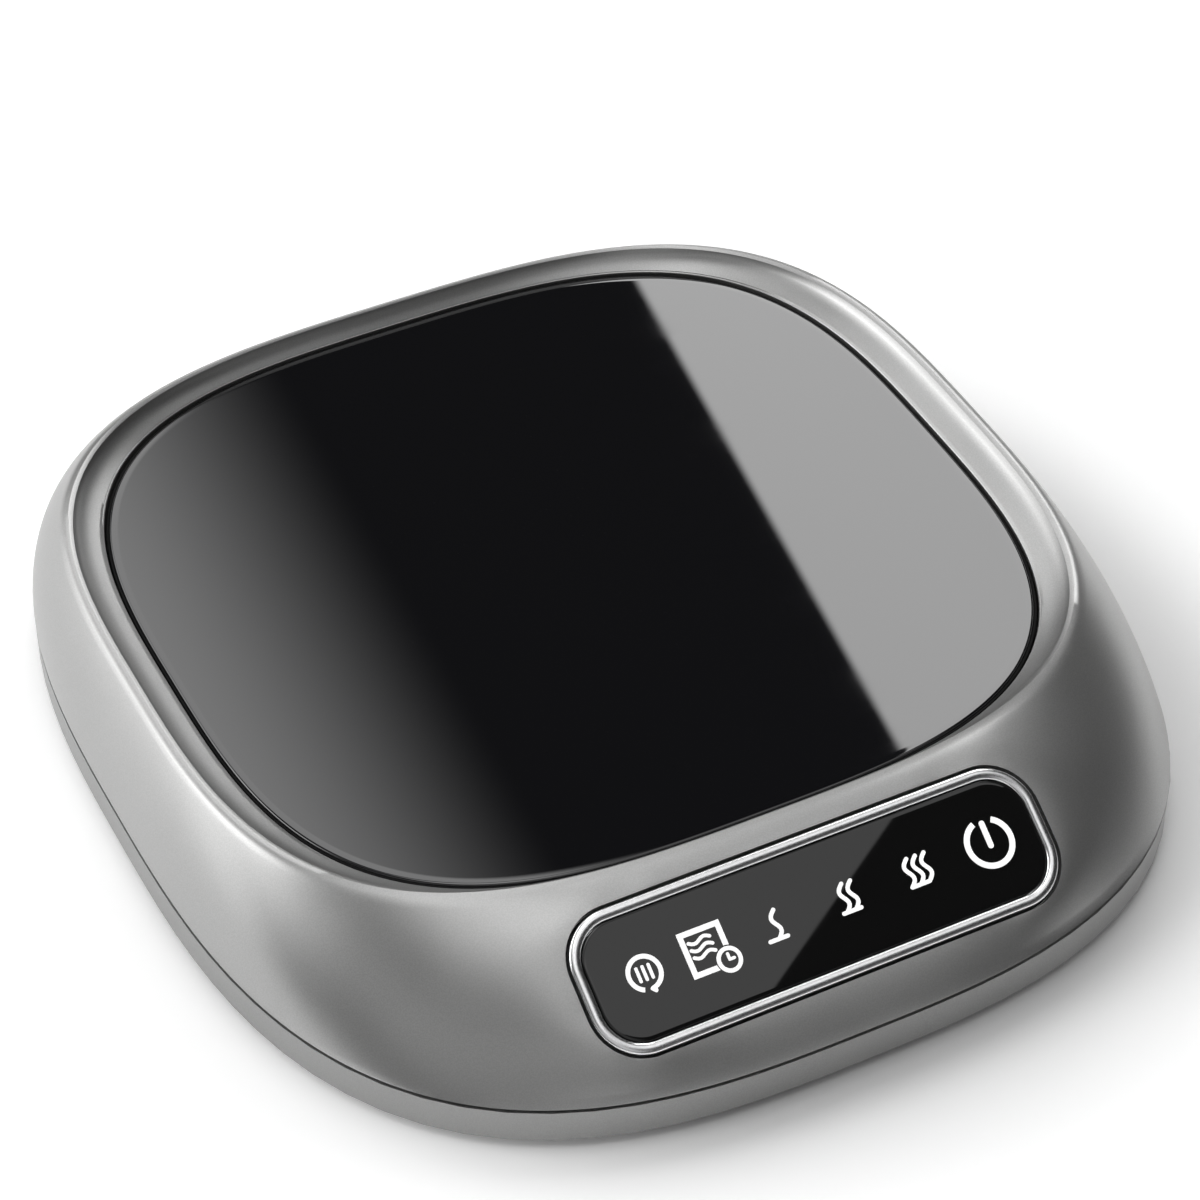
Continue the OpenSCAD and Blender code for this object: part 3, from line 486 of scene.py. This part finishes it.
def lacquer(name, colour, metallic, roughness):
    look = lacquerLook
    finish = Finish(name)
    flakes = finish.noise(look["flakeSize"], 1, 0.4)
    drift = finish.band(finish.noise(look["driftSize"], 2, 0.5), 0.3, 0.7)
    shade = finish.band(flakes, 0.32, 0.68) * look["flakeShade"] + drift * look["driftShade"]
    return finish.surface(
        Base_Color=finish.blend(shade, toned(colour, look["dark"]), toned(colour, look["light"])),
        Metallic=metallic,
        Roughness=roughness + drift * look["driftRough"] + flakes * look["flakeRough"],
        Normal=finish.bump(flakes, *look["relief"]),
    )


# Moulded plastic or rubber with a fine texture

mouldedLook = {
    "driftSize": 18,
    "driftShade": 0.6,
    "fineShade": 0.3,
    "light": (1.18, 0.004),
    "fineRough": 0.12,
    "bump": 0.6,
}


def moulded(name, colour, roughness, grain=0.5, depth=0.02, sheen=0.5):
    look = mouldedLook
    finish = Finish(name)
    fine = finish.noise(grain, 3, 0.6)
    drift = finish.band(finish.noise(look["driftSize"], 2, 0.5), 0.3, 0.7)
    shade = drift * look["driftShade"] + fine * look["fineShade"]
    return finish.surface(
        Base_Color=finish.blend(shade, colour, toned(colour, *look["light"])),
        Roughness=roughness + (fine - 0.5) * look["fineRough"],
        Specular_IOR_Level=sheen,
        Normal=finish.bump(fine, depth, look["bump"]),
    )


# Polished glass or lens, with the faint haze and dust that a wiped surface keeps

polishedLook = {
    "smearSize": 14,
    "smearStretch": (1, 2.4, 1),
    "smearTurn": (0, 0, 0.5),
    "dustSize": 0.3,
    "dust": (0.80, 0.90),
    "dustLight": 0.006,
    "ior": 1.52,
}


def polished(name, colour, roughness, haze, sheen=0.5):
    look = polishedLook
    finish = Finish(name)
    wiped = finish.place(look["smearStretch"], look["smearTurn"])
    smear = finish.band(finish.noise(look["smearSize"], 3, 0.6, wiped), 0.4, 0.75)
    specks = finish.band(finish.noise(look["dustSize"], 0, 0.5), *look["dust"])
    return finish.surface(
        Base_Color=finish.blend(specks, colour, toned(colour, 1, look["dustLight"])),
        Roughness=roughness + smear * haze,
        IOR=look["ior"], Specular_IOR_Level=sheen,
    )


# Metal with the fine lines of drawing, rolling or plating

metalLook = {
    "driftSize": 9,
    "driftShade": 0.5,
    "lineShade": 0.4,
    "dark": 0.86,
    "lineRough": 0.12,
    "bump": 0.5,
}


def metal(name, colour, roughness, lines=(1, 1, 1), grain=0.4, depth=0.004):
    look = metalLook
    finish = Finish(name)
    streaks = finish.noise(grain, 2, 0.5, finish.place(lines))
    drift = finish.band(finish.noise(look["driftSize"], 2, 0.5), 0.3, 0.7)
    shade = drift * look["driftShade"] + streaks * look["lineShade"]
    return finish.surface(
        Base_Color=finish.blend(shade, colour, toned(colour, look["dark"])),
        Metallic=1.0,
        Roughness=roughness + (streaks - 0.5) * look["lineRough"],
        Normal=finish.bump(streaks, depth, look["bump"]),
    )


# White print that the lamps behind it light evenly

printLook = {
    "grain": 0.12,
    "paint": (0.86, 0.96),
    "lit": (0.93, 1.0),
    "strength": 0.55,
    "roughness": 0.45,
    "grainRough": 0.1,
}


def litPrint(name):
    look = printLook
    finish = Finish(name)
    fine = finish.noise(look["grain"], 2, 0.5)
    return finish.surface(
        Base_Color=finish.blend(fine, *(grey(value) for value in look["paint"])),
        Roughness=look["roughness"] + fine * look["grainRough"],
        Emission_Color=finish.blend(fine, *(grey(value) for value in look["lit"])),
        Emission_Strength=look["strength"],
    )


# Solder mask over copper tracks that run along and across the board

boardLook = {
    "tracks": {"Scale": 1 / (9 * mm), "Distortion": 3.5, "Detail": 1},
    "trackEdge": (0.62, 0.70),
    "mask": tinted(0.006, 0.09, 0.035),
    "overCopper": tinted(0.02, 0.20, 0.07),
    "grain": 0.4,
    "roughness": 0.28,
    "grainRough": 0.1,
    "relief": (0.03, 0.5),
}


def circuit(name):
    look = boardLook
    finish = Finish(name)
    sockets = {"Vector": finish.place(), **look["tracks"]}
    waves = finish.add("ShaderNodeTexWave", {"bands_direction": "X"}, sockets, "Fac")
    tracks = finish.band(waves, *look["trackEdge"])
    fine = finish.noise(look["grain"], 2, 0.5)
    return finish.surface(
        Base_Color=finish.blend(tracks, look["mask"], look["overCopper"]),
        Roughness=look["roughness"] + fine * look["grainRough"],
        Normal=finish.bump(tracks, *look["relief"]),
    )


# Fibres that lie every way in a felt, or flakes in pressed mica

feltedLook = {
    "length": 5,
    "contrast": (0.35, 0.65),
    "roughness": 0.85,
    "fibreRough": 0.2,
    "relief": (0.1, 0.7),
}


def felted(name, colour, darker, size=1.4):
    look = feltedLook
    finish = Finish(name)
    along = finish.noise(size, 4, 0.7, finish.place((1, look["length"], 1)))
    over = finish.noise(size, 4, 0.7, finish.place((look["length"], 1, 1)))
    fibres = (along + over) * 0.5
    return finish.surface(
        Base_Color=finish.blend(finish.band(fibres, *look["contrast"]), darker, colour),
        Roughness=look["roughness"] + (fibres - 0.5) * look["fibreRough"],
        Normal=finish.bump(fibres, *look["relief"]),
    )


finishes = {
    "satin_grey": lacquer("satinGreyLacquer", tinted(0.42, 0.42, 0.417), 0.90, 0.34),
    "base_grey": lacquer("darkGreyLacquer", tinted(0.36, 0.36, 0.357), 0.90, 0.40),
    "foot_rubber": moulded("footRubber", grey(0.02), 0.78, 0.35, 0.05),
    "bright_steel": metal("platedSteel", grey(0.55), 0.28),
    "black_glass": polished("blackGlass", tinted(0.004, 0.004, 0.005), 0.012, 0.01, 0.85),
    "black_silicone": moulded("blackSilicone", grey(0.004), 0.7, 0.4, 0.01, 0.1),
    "bare_aluminium": metal("rolledAluminium", tinted(0.78, 0.79, 0.80), 0.32, (1, 12, 1), 0.9),
    "heating_alloy": metal("heatingAlloy", tinted(0.52, 0.42, 0.28), 0.38),
    "mica": felted("pressedMica", tinted(0.62, 0.52, 0.36), tinted(0.40, 0.32, 0.20), 2.2),
    "white_felt": felted("ceramicFelt", tinted(0.88, 0.87, 0.83), tinted(0.66, 0.65, 0.61)),
    "carrier_black": moulded("heatProofPlastic", grey(0.02), 0.6, 0.6, 0.03, 0.3),
    "spring_steel": metal("springSteel", grey(0.42), 0.26, (1, 1, 6), 0.3),
    "fuse_cream": moulded("fuseCeramic", tinted(0.80, 0.76, 0.66), 0.42, 0.3),
    "sensor_bead": moulded("sensorBead", tinted(0.32, 0.16, 0.05), 0.18, 0.4, 0.004),
    "red_silicone": moulded("redSilicone", tinted(0.50, 0.02, 0.015), 0.48, 0.3, 0.01),
    "bright_chrome": metal("chromePlate", tinted(0.86, 0.86, 0.87), 0.24, (1, 1, 1), 0.5, 0.0006),
    "black_lens": polished("blackLens", tinted(0.006, 0.006, 0.006), 0.008, 0.006),
    "white_print": litPrint("litWhitePrint"),
    "adhesive_tape": moulded("adhesiveTape", grey(0.03), 0.7, 0.5),
    "black_plastic": moulded("blackPlastic", grey(0.018), 0.42, 0.45, 0.02),
    "copper_alloy": metal("bronzeWire", tinted(0.72, 0.40, 0.20), 0.25, (1, 1, 6), 0.3),
    "led_resin": moulded("lampResin", tinted(0.88, 0.84, 0.62), 0.15, 0.6, 0.003),
    "circuit_green": circuit("greenBoard"),
    "chip_black": moulded("chipEpoxy", grey(0.014), 0.5, 0.25, 0.02),
    "ribbon_white": moulded("ribbonFilm", grey(0.74), 0.36, 0.8, 0.006),
    "socket_cream": moulded("socketNylon", tinted(0.72, 0.68, 0.55), 0.5, 0.5),
    "ferrite_grey": moulded("ferrite", grey(0.045), 0.62, 0.3, 0.03),
    "can_aluminium": metal("canAluminium", grey(0.72), 0.25, (1, 1, 8), 0.5),
    "terminal_green": moulded("terminalNylon", tinted(0.03, 0.24, 0.07), 0.45, 0.5),
    "plunger_ivory": moulded("acetal", tinted(0.78, 0.72, 0.55), 0.35, 0.5, 0.006),
    "contact_nickel": metal("nickelPlate", tinted(0.74, 0.71, 0.62), 0.18),
}
slotOf = {entry["node"]: entry["material_slot"] for entry in frame["record"]["subparts"]}
bodyOf = {
    node: name for name, nodes in frame["record"]["behaviour"]["bodies"].items() for node in nodes
}
print("finishes made:", len(finishes))


def dress(piece, slotName):
    piece.data.materials.clear()
    piece.data.materials.append(finishes[slotName])


def standFor(piece, node):
    dress(piece, slotOf[node])
    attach(piece, bodyOf[node])
    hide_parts(node)
    return piece


# Top housing: sloping wall, rounded rim, hollow dish wall, panel pocket and screw bosses

housing = {
    "seamEdge": 0.35,
    "seamRound": 0.3,
    "flankRings": 22,
    "shoulder": 0.9,  # where the rim's rounding starts, below the rim
    "shoulderSteps": ((0.62, -0.02), (0.38, -0.10), (0.2, -0.2)),  # below the rim, and outwards
    "lipRows": 14,
    "crest": 0.14,  # share of the lip's width where its rows start, on the rounded crest
    "lipRun": 0.80,
    "crestDrop": 0.09,  # share of the lip's drop that the crest takes
    "lipSteep": 0.35,  # share of the drop that lies close beside the rim
    "steepness": 5,
    "steepFrom": 0.2,
    "mouthEdge": 0.25,
    "mouthSteps": ((0.9, -0.12), (0.35, 0.05), (0.08, 0.35), (0, 1)),  # outwards, and down
    "skirtOverGlassFoot": 0.2,
    "skirtRows": (0, 0.33, 0.66, 1),
    "bossRadius": 3.2,
    "bossSides": 32,
    "bossFoot": 5.2,
    "bossUnderSkin": 0.8,
    "screwRadius": 1.4,
    "screwSides": 24,
    "screwTip": 10.3,
    "frontScrew": (-9.5, -50),  # inset from the seam's outline, and angle
    "rearScrew": (-6.2, 54.5),
    "notchWidth": 16.6,
    "notchGap": 0.1,
    "notchBack": 90,
    "past": 1,  # how far a cutter starts before what it cuts
}


def flankHeight(point):
    low, high = seamZ, rimZ
    for halving in range(16):
        middle = (low + high) / 2
        wide, deep, power, centre = flank(middle)[:4]
        reach = (abs(point.x) / wide) ** power + (abs(point.y - centre) / deep) ** power
        low, high = (middle, high) if reach < 1 else (low, middle)
    return low


# How far down the lip lies: 0 at the rim, 1 at its foot
def lipDrop(share):
    crest, steep, start = housing["crest"], housing["lipSteep"], housing["steepFrom"]
    if share < 2 * crest:
        return housing["crestDrop"] * ease((share - crest) / crest)
    far = (share - start) / (1 - start)
    return steep * (1 - (1 - far) ** housing["steepness"]) + (1 - steep) * far


def makeShell():
    steps = body["steps"]
    edge = housing["seamEdge"]
    top = rimZ - housing["shoulder"]
    skin = []
    for k in range(housing["flankRings"] + 1):
        z = seamZ + edge + (top - seamZ - edge) * k / housing["flankRings"]
        skin.append(ringOf(flank(z), steps))
    for drop, out in housing["shoulderSteps"]:
        skin.append(ringOf(grown(flank(rimZ - drop), out), steps))
    part = edge * housing["seamRound"]
    rings = [ringOf(grown(flank(seamZ), -edge), steps)]
    rings.append(ringOf(atHeight(grown(flank(seamZ), -part), seamZ + part), steps))
    rings += liftedOntoPanel(skin)
    hollow = rimZ - mouthLoop[4]
    for k in range(housing["lipRows"]):
        share = housing["crest"] + housing["lipRun"] * k / (housing["lipRows"] - 1)
        loop = atHeight(mixed(rimLoop, mouthLoop, share), rimZ - hollow * lipDrop(share))
        rings.append(ringOf(loop, steps))
    edge = housing["mouthEdge"]
    for out, drop in housing["mouthSteps"]:
        loop = atHeight(grown(mouthLoop, edge * out), mouthLoop[4] - edge * drop)
        rings.append(ringOf(loop, steps))
    skirtZ = glassLow.z + housing["skirtOverGlassFoot"]
    rings.append(ringOf(atHeight(mouthLoop, skirtZ), steps))
    for share in housing["skirtRows"]:
        rings.append(ringOf(innerFace(skirtZ + (seamZ - skirtZ) * share), steps))
    return loft("housingShell", rings, closed=True)


def makeHousing():
    shell = makeShell()
    past = housing["past"]
    depth = panel["frameDepth"]
    margin = panel["frameMargin"]
    rim = panelLoft(
        "panelFrame", panel["width"] + 2 * margin, panel["height"] + 2 * margin,
        panel["corner"] + margin,
        ((0, -depth), (0, -panel["pocketDepth"] + panel["frameOverlap"])),
    )
    cut(shell, rim, "UNION")
    for inset, angle in (housing["frontScrew"], housing["rearScrew"]):
        spot = pointOn(grown(seamLoop, inset), angle)
        outermost = spot + spot.xy.normalized().to_3d() * housing["bossRadius"]
        for side in (-1, 1):
            boss = rod(
                "boss", (side * spot.x, spot.y), housing["bossFoot"],
                flankHeight(outermost) - housing["bossUnderSkin"],
                housing["bossRadius"], housing["bossSides"],
            )
            cut(shell, boss, "UNION")
            bore = rod(
                "bore", (side * spot.x, spot.y), housing["bossFoot"] - past,
                housing["screwTip"], housing["screwRadius"], housing["screwSides"],
            )
            cut(shell, bore)
    gap = panel["pocketGap"]
    pocket = panelLoft(
        "pocket", panel["width"] + 2 * gap, panel["height"] + 2 * gap, panel["corner"] + gap,
        ((0, -panel["pocketDepth"] - panel["pocketPlay"]), (0, panel["pocketOpening"])),
    )
    cut(shell, pocket)
    within = 2 * panel["windowIn"]
    window = panelLoft(
        "window", panel["width"] - within, panel["height"] - within, panel["windowCorner"],
        ((0, -depth - past), (0, 0)),
    )
    cut(shell, window)
    frameLow, frameHigh = [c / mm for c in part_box("inlet_frame")]
    half, gap = housing["notchWidth"] / 2, housing["notchGap"]
    notch = block(
        "notch", (-half, frameLow.y - gap, frameLow.z),
        (half, housing["notchBack"], frameHigh.z + gap),
    )
    cut(shell, notch)
    smooth(shell, 32)
    return standFor(shell, "top_housing")


makeHousing()
print("top housing made")


# Glass, with its polished bevel, and the seal round it

plate = {
    "bevel": 0.35,
    "glassEdge": ((0, 1), (-0.06, 0.45), (-0.2, 0.12), (-0.42, 0), (-1.2, 0)),  # inwards, and down
    "glassFoot": 0.1,
    "seal": 0.35,
    "sealDrop": 0.25,  # top of the seal below the glass
    "sealOuter": ((0, -0.15), (-0.05, -0.04), (-0.14, 0)),
    "sealInner": ((0.08, 0), (0, -0.06)),
    "sealLip": 0.8,
    "sealIn": 3.0,
    "steps": 320,
}


def plateRings(profile):
    return [ringOf(atHeight(grown(glassLoop, out), z), plate["steps"]) for out, z in profile]


def makeGlass():
    foot = plate["glassFoot"]
    profile = [(-foot, glassLow.z), (0, glassLow.z + foot)]
    profile += [(out, glassHigh.z - plate["bevel"] * down) for out, down in plate["glassEdge"]]
    glass = loft("glassPlate", plateRings(profile))
    smooth(glass, 40)
    return standFor(glass, "glass_plate")


def makeSeal():
    top = glassHigh.z - plate["sealDrop"]
    foot = glassLow.z - plate["sealLip"]
    profile = [(plate["seal"], foot)]
    profile += [(plate["seal"] + out, top + up) for out, up in plate["sealOuter"]]
    profile += [(out, top + up) for out, up in plate["sealInner"]]
    profile += [(0, glassLow.z), (-plate["sealIn"], glassLow.z), (-plate["sealIn"], foot)]
    seal = loft("plateSeal", plateRings(profile), closed=True)
    smooth(seal, 40)
    return standFor(seal, "plate_seal")


makeGlass()
makeSeal()
print("glass and seal made")


# Touch panel: chrome bezel with a half-round face, and the smoked lens

bezel = {
    "width": 1.8,
    "proud": 0.3,
    "crown": 0.65,  # 1 is a half-round face, less is flatter
    "crownSteps": 12,
    "shadowLine": 0.22,  # step that keeps a dark line round the face
    "foot": (0.1, 0.15),
    "sideTop": -1.2,
    "step": (-1, -0.4),
    "faceFoot": -0.3,
    "innerTop": -0.5,
    "inset": 0.1,
    "flange": 0.5,
    "tape": 0.15,
    "lens": 1.8,
    "lensFoot": 0.08,
    "lensEdge": ((0, -0.14), (0.04, -0.05), (0.14, 0), (0.6, 0)),  # inwards, and up
}


def makeBezel():
    wide, shadow, foot = bezel["width"], bezel["shadowLine"], bezel["faceFoot"]
    floor = -panel["pocketDepth"]
    profile = [(bezel["foot"][0], floor), (0, floor + bezel["foot"][1]), (0, bezel["sideTop"])]
    profile += [(shadow, z) for z in bezel["step"]]
    for k in range(bezel["crownSteps"] + 1):
        angle = math.radians(180 - 180 * k / bezel["crownSteps"])
        swell = math.sin(angle) ** bezel["crown"]
        inset = (wide + shadow) / 2 + (wide - shadow) / 2 * math.cos(angle)
        profile.append((inset, foot + (bezel["proud"] - foot) * swell))
    flange = floor + bezel["flange"]
    profile += [(wide, bezel["innerTop"]), (wide, flange)]
    profile += [(panel["windowIn"], flange), (panel["windowIn"], floor)]
    ringPiece = panelLoft(
        "panelBezel", panel["width"], panel["height"], panel["corner"], profile, closed=True
    )
    smooth(ringPiece, 50)
    return standFor(ringPiece, "panel_bezel")


def makeLens():
    inset = bezel["width"] + bezel["inset"]
    foot = -panel["pocketDepth"] + bezel["flange"] + bezel["tape"]
    top = foot + bezel["lens"]
    profile = [(bezel["lensFoot"], foot), (0, foot + bezel["lensFoot"])]
    profile += [(within, top + up) for within, up in bezel["lensEdge"]]
    lens = panelLoft(
        "panelLens", panel["width"] - 2 * inset, panel["height"] - 2 * inset,
        panel["corner"] - inset, profile,
    )
    smooth(lens, 40)
    return standFor(lens, "panel_lens")


makeBezel()
makeLens()
print("touch panel made")


# Pieces whose CAD shape is kept, with rounded edges where a moulding or a pressing has them

softening = {
    "merge": 0.002,
    "flat": 0.4,  # degrees between faces that become one
    "sharp": 40,  # degrees at an edge that gets rounded
    "segments": 2,
    "smooth": 32,
}
softened = {
    "plate_carrier": 0.2, "inlet_frame": 0.3, "dc_inlet": 0.25, "inlet_pin": 0.15,
    "switch_body": 0.2, "switch_plunger": 0.25, "power_inductor": 0.4, "filter_capacitors": 0.3,
    "buzzer": 0.3, "heater_terminals": 0.3, "control_chip": 0.1, "heater_transistor": 0.15,
    "touch_chip": 0.12, "ribbon_sockets": 0.2, "status_leds": 0.12, "touch_board": 0.08,
    "power_board": 0.08, "thermal_fuse": 0.2, "heat_sensor": 0.3, "sensor_clip": 0.12,
    "fuse_clip": 0.1, "heater_clamp": 0.15, "heat_spreader": 0.2, "guide_posts": 0.25,
    "light_shield": 0.1, "insulation_pad": 0.25, "housing_screws": 0.12, "clamp_screws": 0.1,
    "board_screws": 0.1, "touch_board_screws": 0.1, "rubber_feet": 0.25, "base_cover": 0,
}


# A finer copy of a CAD piece: merged, its flat faces made whole, and its sharp edges rounded
def refined(node, bevel=0):
    bpy.ops.object.select_all(action="DESELECT")
    piece = frame["nodes"][node].copy()
    piece.data = piece.data.copy()
    piece.name = node + "_finished"
    bpy.context.scene.collection.objects.link(piece)
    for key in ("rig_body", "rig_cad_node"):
        if key in piece:
            del piece[key]
    piece.parent = None
    piece.matrix_world = Matrix.Identity(4)
    activate(piece)
    bpy.ops.object.mode_set(mode="EDIT")
    bpy.ops.mesh.select_all(action="SELECT")
    bpy.ops.mesh.remove_doubles(threshold=softening["merge"] * mm)
    bpy.ops.mesh.dissolve_limited(angle_limit=math.radians(softening["flat"]))
    bpy.ops.object.mode_set(mode="OBJECT")
    if bevel:
        applyModifier(
            piece, "BEVEL", width=bevel * mm, segments=softening["segments"], limit_method="ANGLE",
            angle_limit=math.radians(softening["sharp"]), use_clamp_overlap=True,
        )
    smooth(piece, softening["smooth"])
    return standFor(piece, node)


for node, width in softened.items():
    refined(node, width)

# The springs and the heater's leads give as the plate sinks, shortening towards their feet: each
# gets a finer copy with a mesh of its own
pressed = frame["record"]["behaviour"]["joints"][0]
for entry in pressed["deforming_nodes"]:
    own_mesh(refined(entry["node"]))
for node, cadObject in frame["nodes"].items():
    dress(cadObject, slotOf[node])
print("other pieces finished:", len(softened) + len(pressed["deforming_nodes"]))


# Floor, light and camera

view = {
    "azimuth": -27.03,
    "elevation": 42.39,
    "distance": 533.6,
    "target": (8.90, 13.76, 1.5),
    "lens": 111.4,
    "sensor": 36,
    "nearest": 10,
}


def makeCamera():
    a, e = math.radians(view["azimuth"]), math.radians(view["elevation"])
    back = Vector((math.sin(a) * math.cos(e), -math.cos(a) * math.cos(e), math.sin(e)))
    place = Vector(view["target"]) + back * view["distance"]
    bpy.ops.object.select_all(action="DESELECT")
    bpy.ops.object.camera_add(location=place * mm)
    camera = bpy.context.object
    camera.rotation_euler = back.to_track_quat("Z", "Y").to_euler()
    camera.data.lens = view["lens"]
    camera.data.sensor_width = view["sensor"]
    camera.data.clip_start = view["nearest"] * mm
    bpy.context.scene.camera = camera


floorLook = {
    "size": 8000,
    "patches": 60,
    "dark": 0.94,
    "pale": 0.96,
    "glow": 0.26,
    "shade": (10, -18),  # the middle of the painted shadow beside the body, where the floor is left without glow
    "paintedShadowFade": (62, 90),
}


def makeFloor():
    bpy.ops.object.select_all(action="DESELECT")
    bpy.ops.mesh.primitive_plane_add(size=floorLook["size"] * mm, location=(0, 0, 0))
    floor = bpy.context.object
    floor.name = "floor"
    finish = Finish("paleFloor")
    fine = finish.noise(floorLook["patches"], 2, 0.5)
    # Further out the floor is seen a little lighter than the studio alone makes it. Round a place
    # beside the body, to the front and right, the glow is left out: a painted shadow, which metal
    # and glass reflect too
    seen = 0
    for ray in ("Is Camera Ray", "Is Glossy Ray", "Is Transmission Ray"):
        seen = finish.add("ShaderNodeLightPath", out=ray) + seen
    x, y = floorLook["shade"]
    away = finish.add("ShaderNodeVectorMath", {"operation": "DISTANCE"}, {
        0: finish.place(), 1: (x * mm, y * mm, 0),
    }, "Value")
    # the glow fades in across the painted shadow's edge, from its middle outwards
    near, far = floorLook["paintedShadowFade"]
    seen = seen.math("MINIMUM", 1.0) * finish.band(away, near * mm, far * mm)
    floor.data.materials.append(finish.surface(
        Base_Color=finish.blend(fine, grey(floorLook["dark"]), grey(floorLook["pale"])),
        Roughness=0.7, Specular_IOR_Level=0.1, Emission_Strength=1.0,
        Emission_Color=finish.blend(seen, grey(0.0), grey(floorLook["glow"])),
    ))


# The studio: soft boxes all round, most of them to the left and behind
studio = {
    "room": 0.03,
    "ahead": (0.05, 0.2),  # cosines over which a box fades, so that it shows on one side only
    "boxes": {
        # compass angle, rise, turn, half width and its edge, half height and its edge, strength
        "backWall": (-35, 8, 0, (0.16, 0.24), (0.08, 0.14), 1.5),
        "leftWall": (-60, 8, 0, (0.16, 0.24), (0.08, 0.14), 2.4),
        "backHigh": (-30, 34, 0, (0.16, 0.24), (0.14, 0.20), 2.3),
        "leftHigh": (-62, 34, 0, (0.16, 0.24), (0.14, 0.20), 3.9),
        "nearHigh": (-125, 36, 0, (0.16, 0.24), (0.14, 0.20), 0.5),
        "frontHigh": (-170, 40, 0, (0.16, 0.24), (0.14, 0.20), 0.55),
        "frontLow": (-160, 12, 0, (0.16, 0.24), (0.08, 0.14), 0.6),
        "nearLow": (150, 12, 0, (0.16, 0.24), (0.08, 0.14), 0.2),
        "rightLow": (60, 10, 0, (0.16, 0.24), (0.08, 0.14), 0.6),
        "leftRoof": (-60, 60, 0, (0.10, 0.18), (0.10, 0.18), 0.45),
        "nearRoof": (-170, 62, 0, (0.10, 0.18), (0.10, 0.18), 0.3),
        "rightRoof": (60, 74, 0, (0.10, 0.18), (0.10, 0.18), 0.8),
        "overhead": (0, 86, 0, (0.10, 0.18), (0.10, 0.18), 2.3),
        "overNear": (-150, 78, 0, (0.10, 0.18), (0.10, 0.18), 0.8),
        "lensStrip": (136.1, 66.6, 84.8, (0.1506, 0.001), (0.22, 0.25), 1.12),
        "glassLeft": (9.2, 48.1, -163.3, (0.12, 0.08), (0.25, 0.12), 2.15),
        "glassRight": (41.6, 39.1, -140.9, (0.14, 0.003), (0.27, 0.08), 3.85),
    },
}


def makeWorld():
    world = bpy.data.worlds.new("softStudio")
    bpy.context.scene.world = world
    world.use_nodes = True
    finish = Finish("softStudio", world.node_tree)
    direction = finish.add("ShaderNodeTexCoord", out="Generated")

    def along(axis):
        return finish.add("ShaderNodeVectorMath", {"operation": "DOT_PRODUCT"}, {
            0: direction, 1: tuple(axis),
        }, "Value")

    light = studio["room"]
    for compass, rise, turn, width, height, strength in studio["boxes"].values():
        a, e = math.radians(compass), math.radians(rise)
        axis = Vector((math.sin(a) * math.cos(e), math.cos(a) * math.cos(e), math.sin(e)))
        across = axis.cross(Vector((0, 0, 1))).normalized()
        across.rotate(Quaternion(axis, math.radians(turn)))
        ahead = along(axis)
        share = finish.band(ahead, *studio["ahead"]) * strength
        near = ahead.math("MAXIMUM", studio["ahead"][0])
        for lean, (half, edge) in ((across, width), (axis.cross(across), height)):
            off = (along(lean) / near).math("ABSOLUTE", 0)
            share = share * finish.band(off, half, half + edge, 1, 0)
        light = share + light
    sky = finish.add("ShaderNodeBackground", {}, {"Color": grey(1.0), "Strength": light})
    finish.add("ShaderNodeOutputWorld", {}, {"Surface": sky})


makeCamera()
makeFloor()
makeWorld()
bpy.context.scene.view_settings.view_transform = "Standard"
print("stage made")
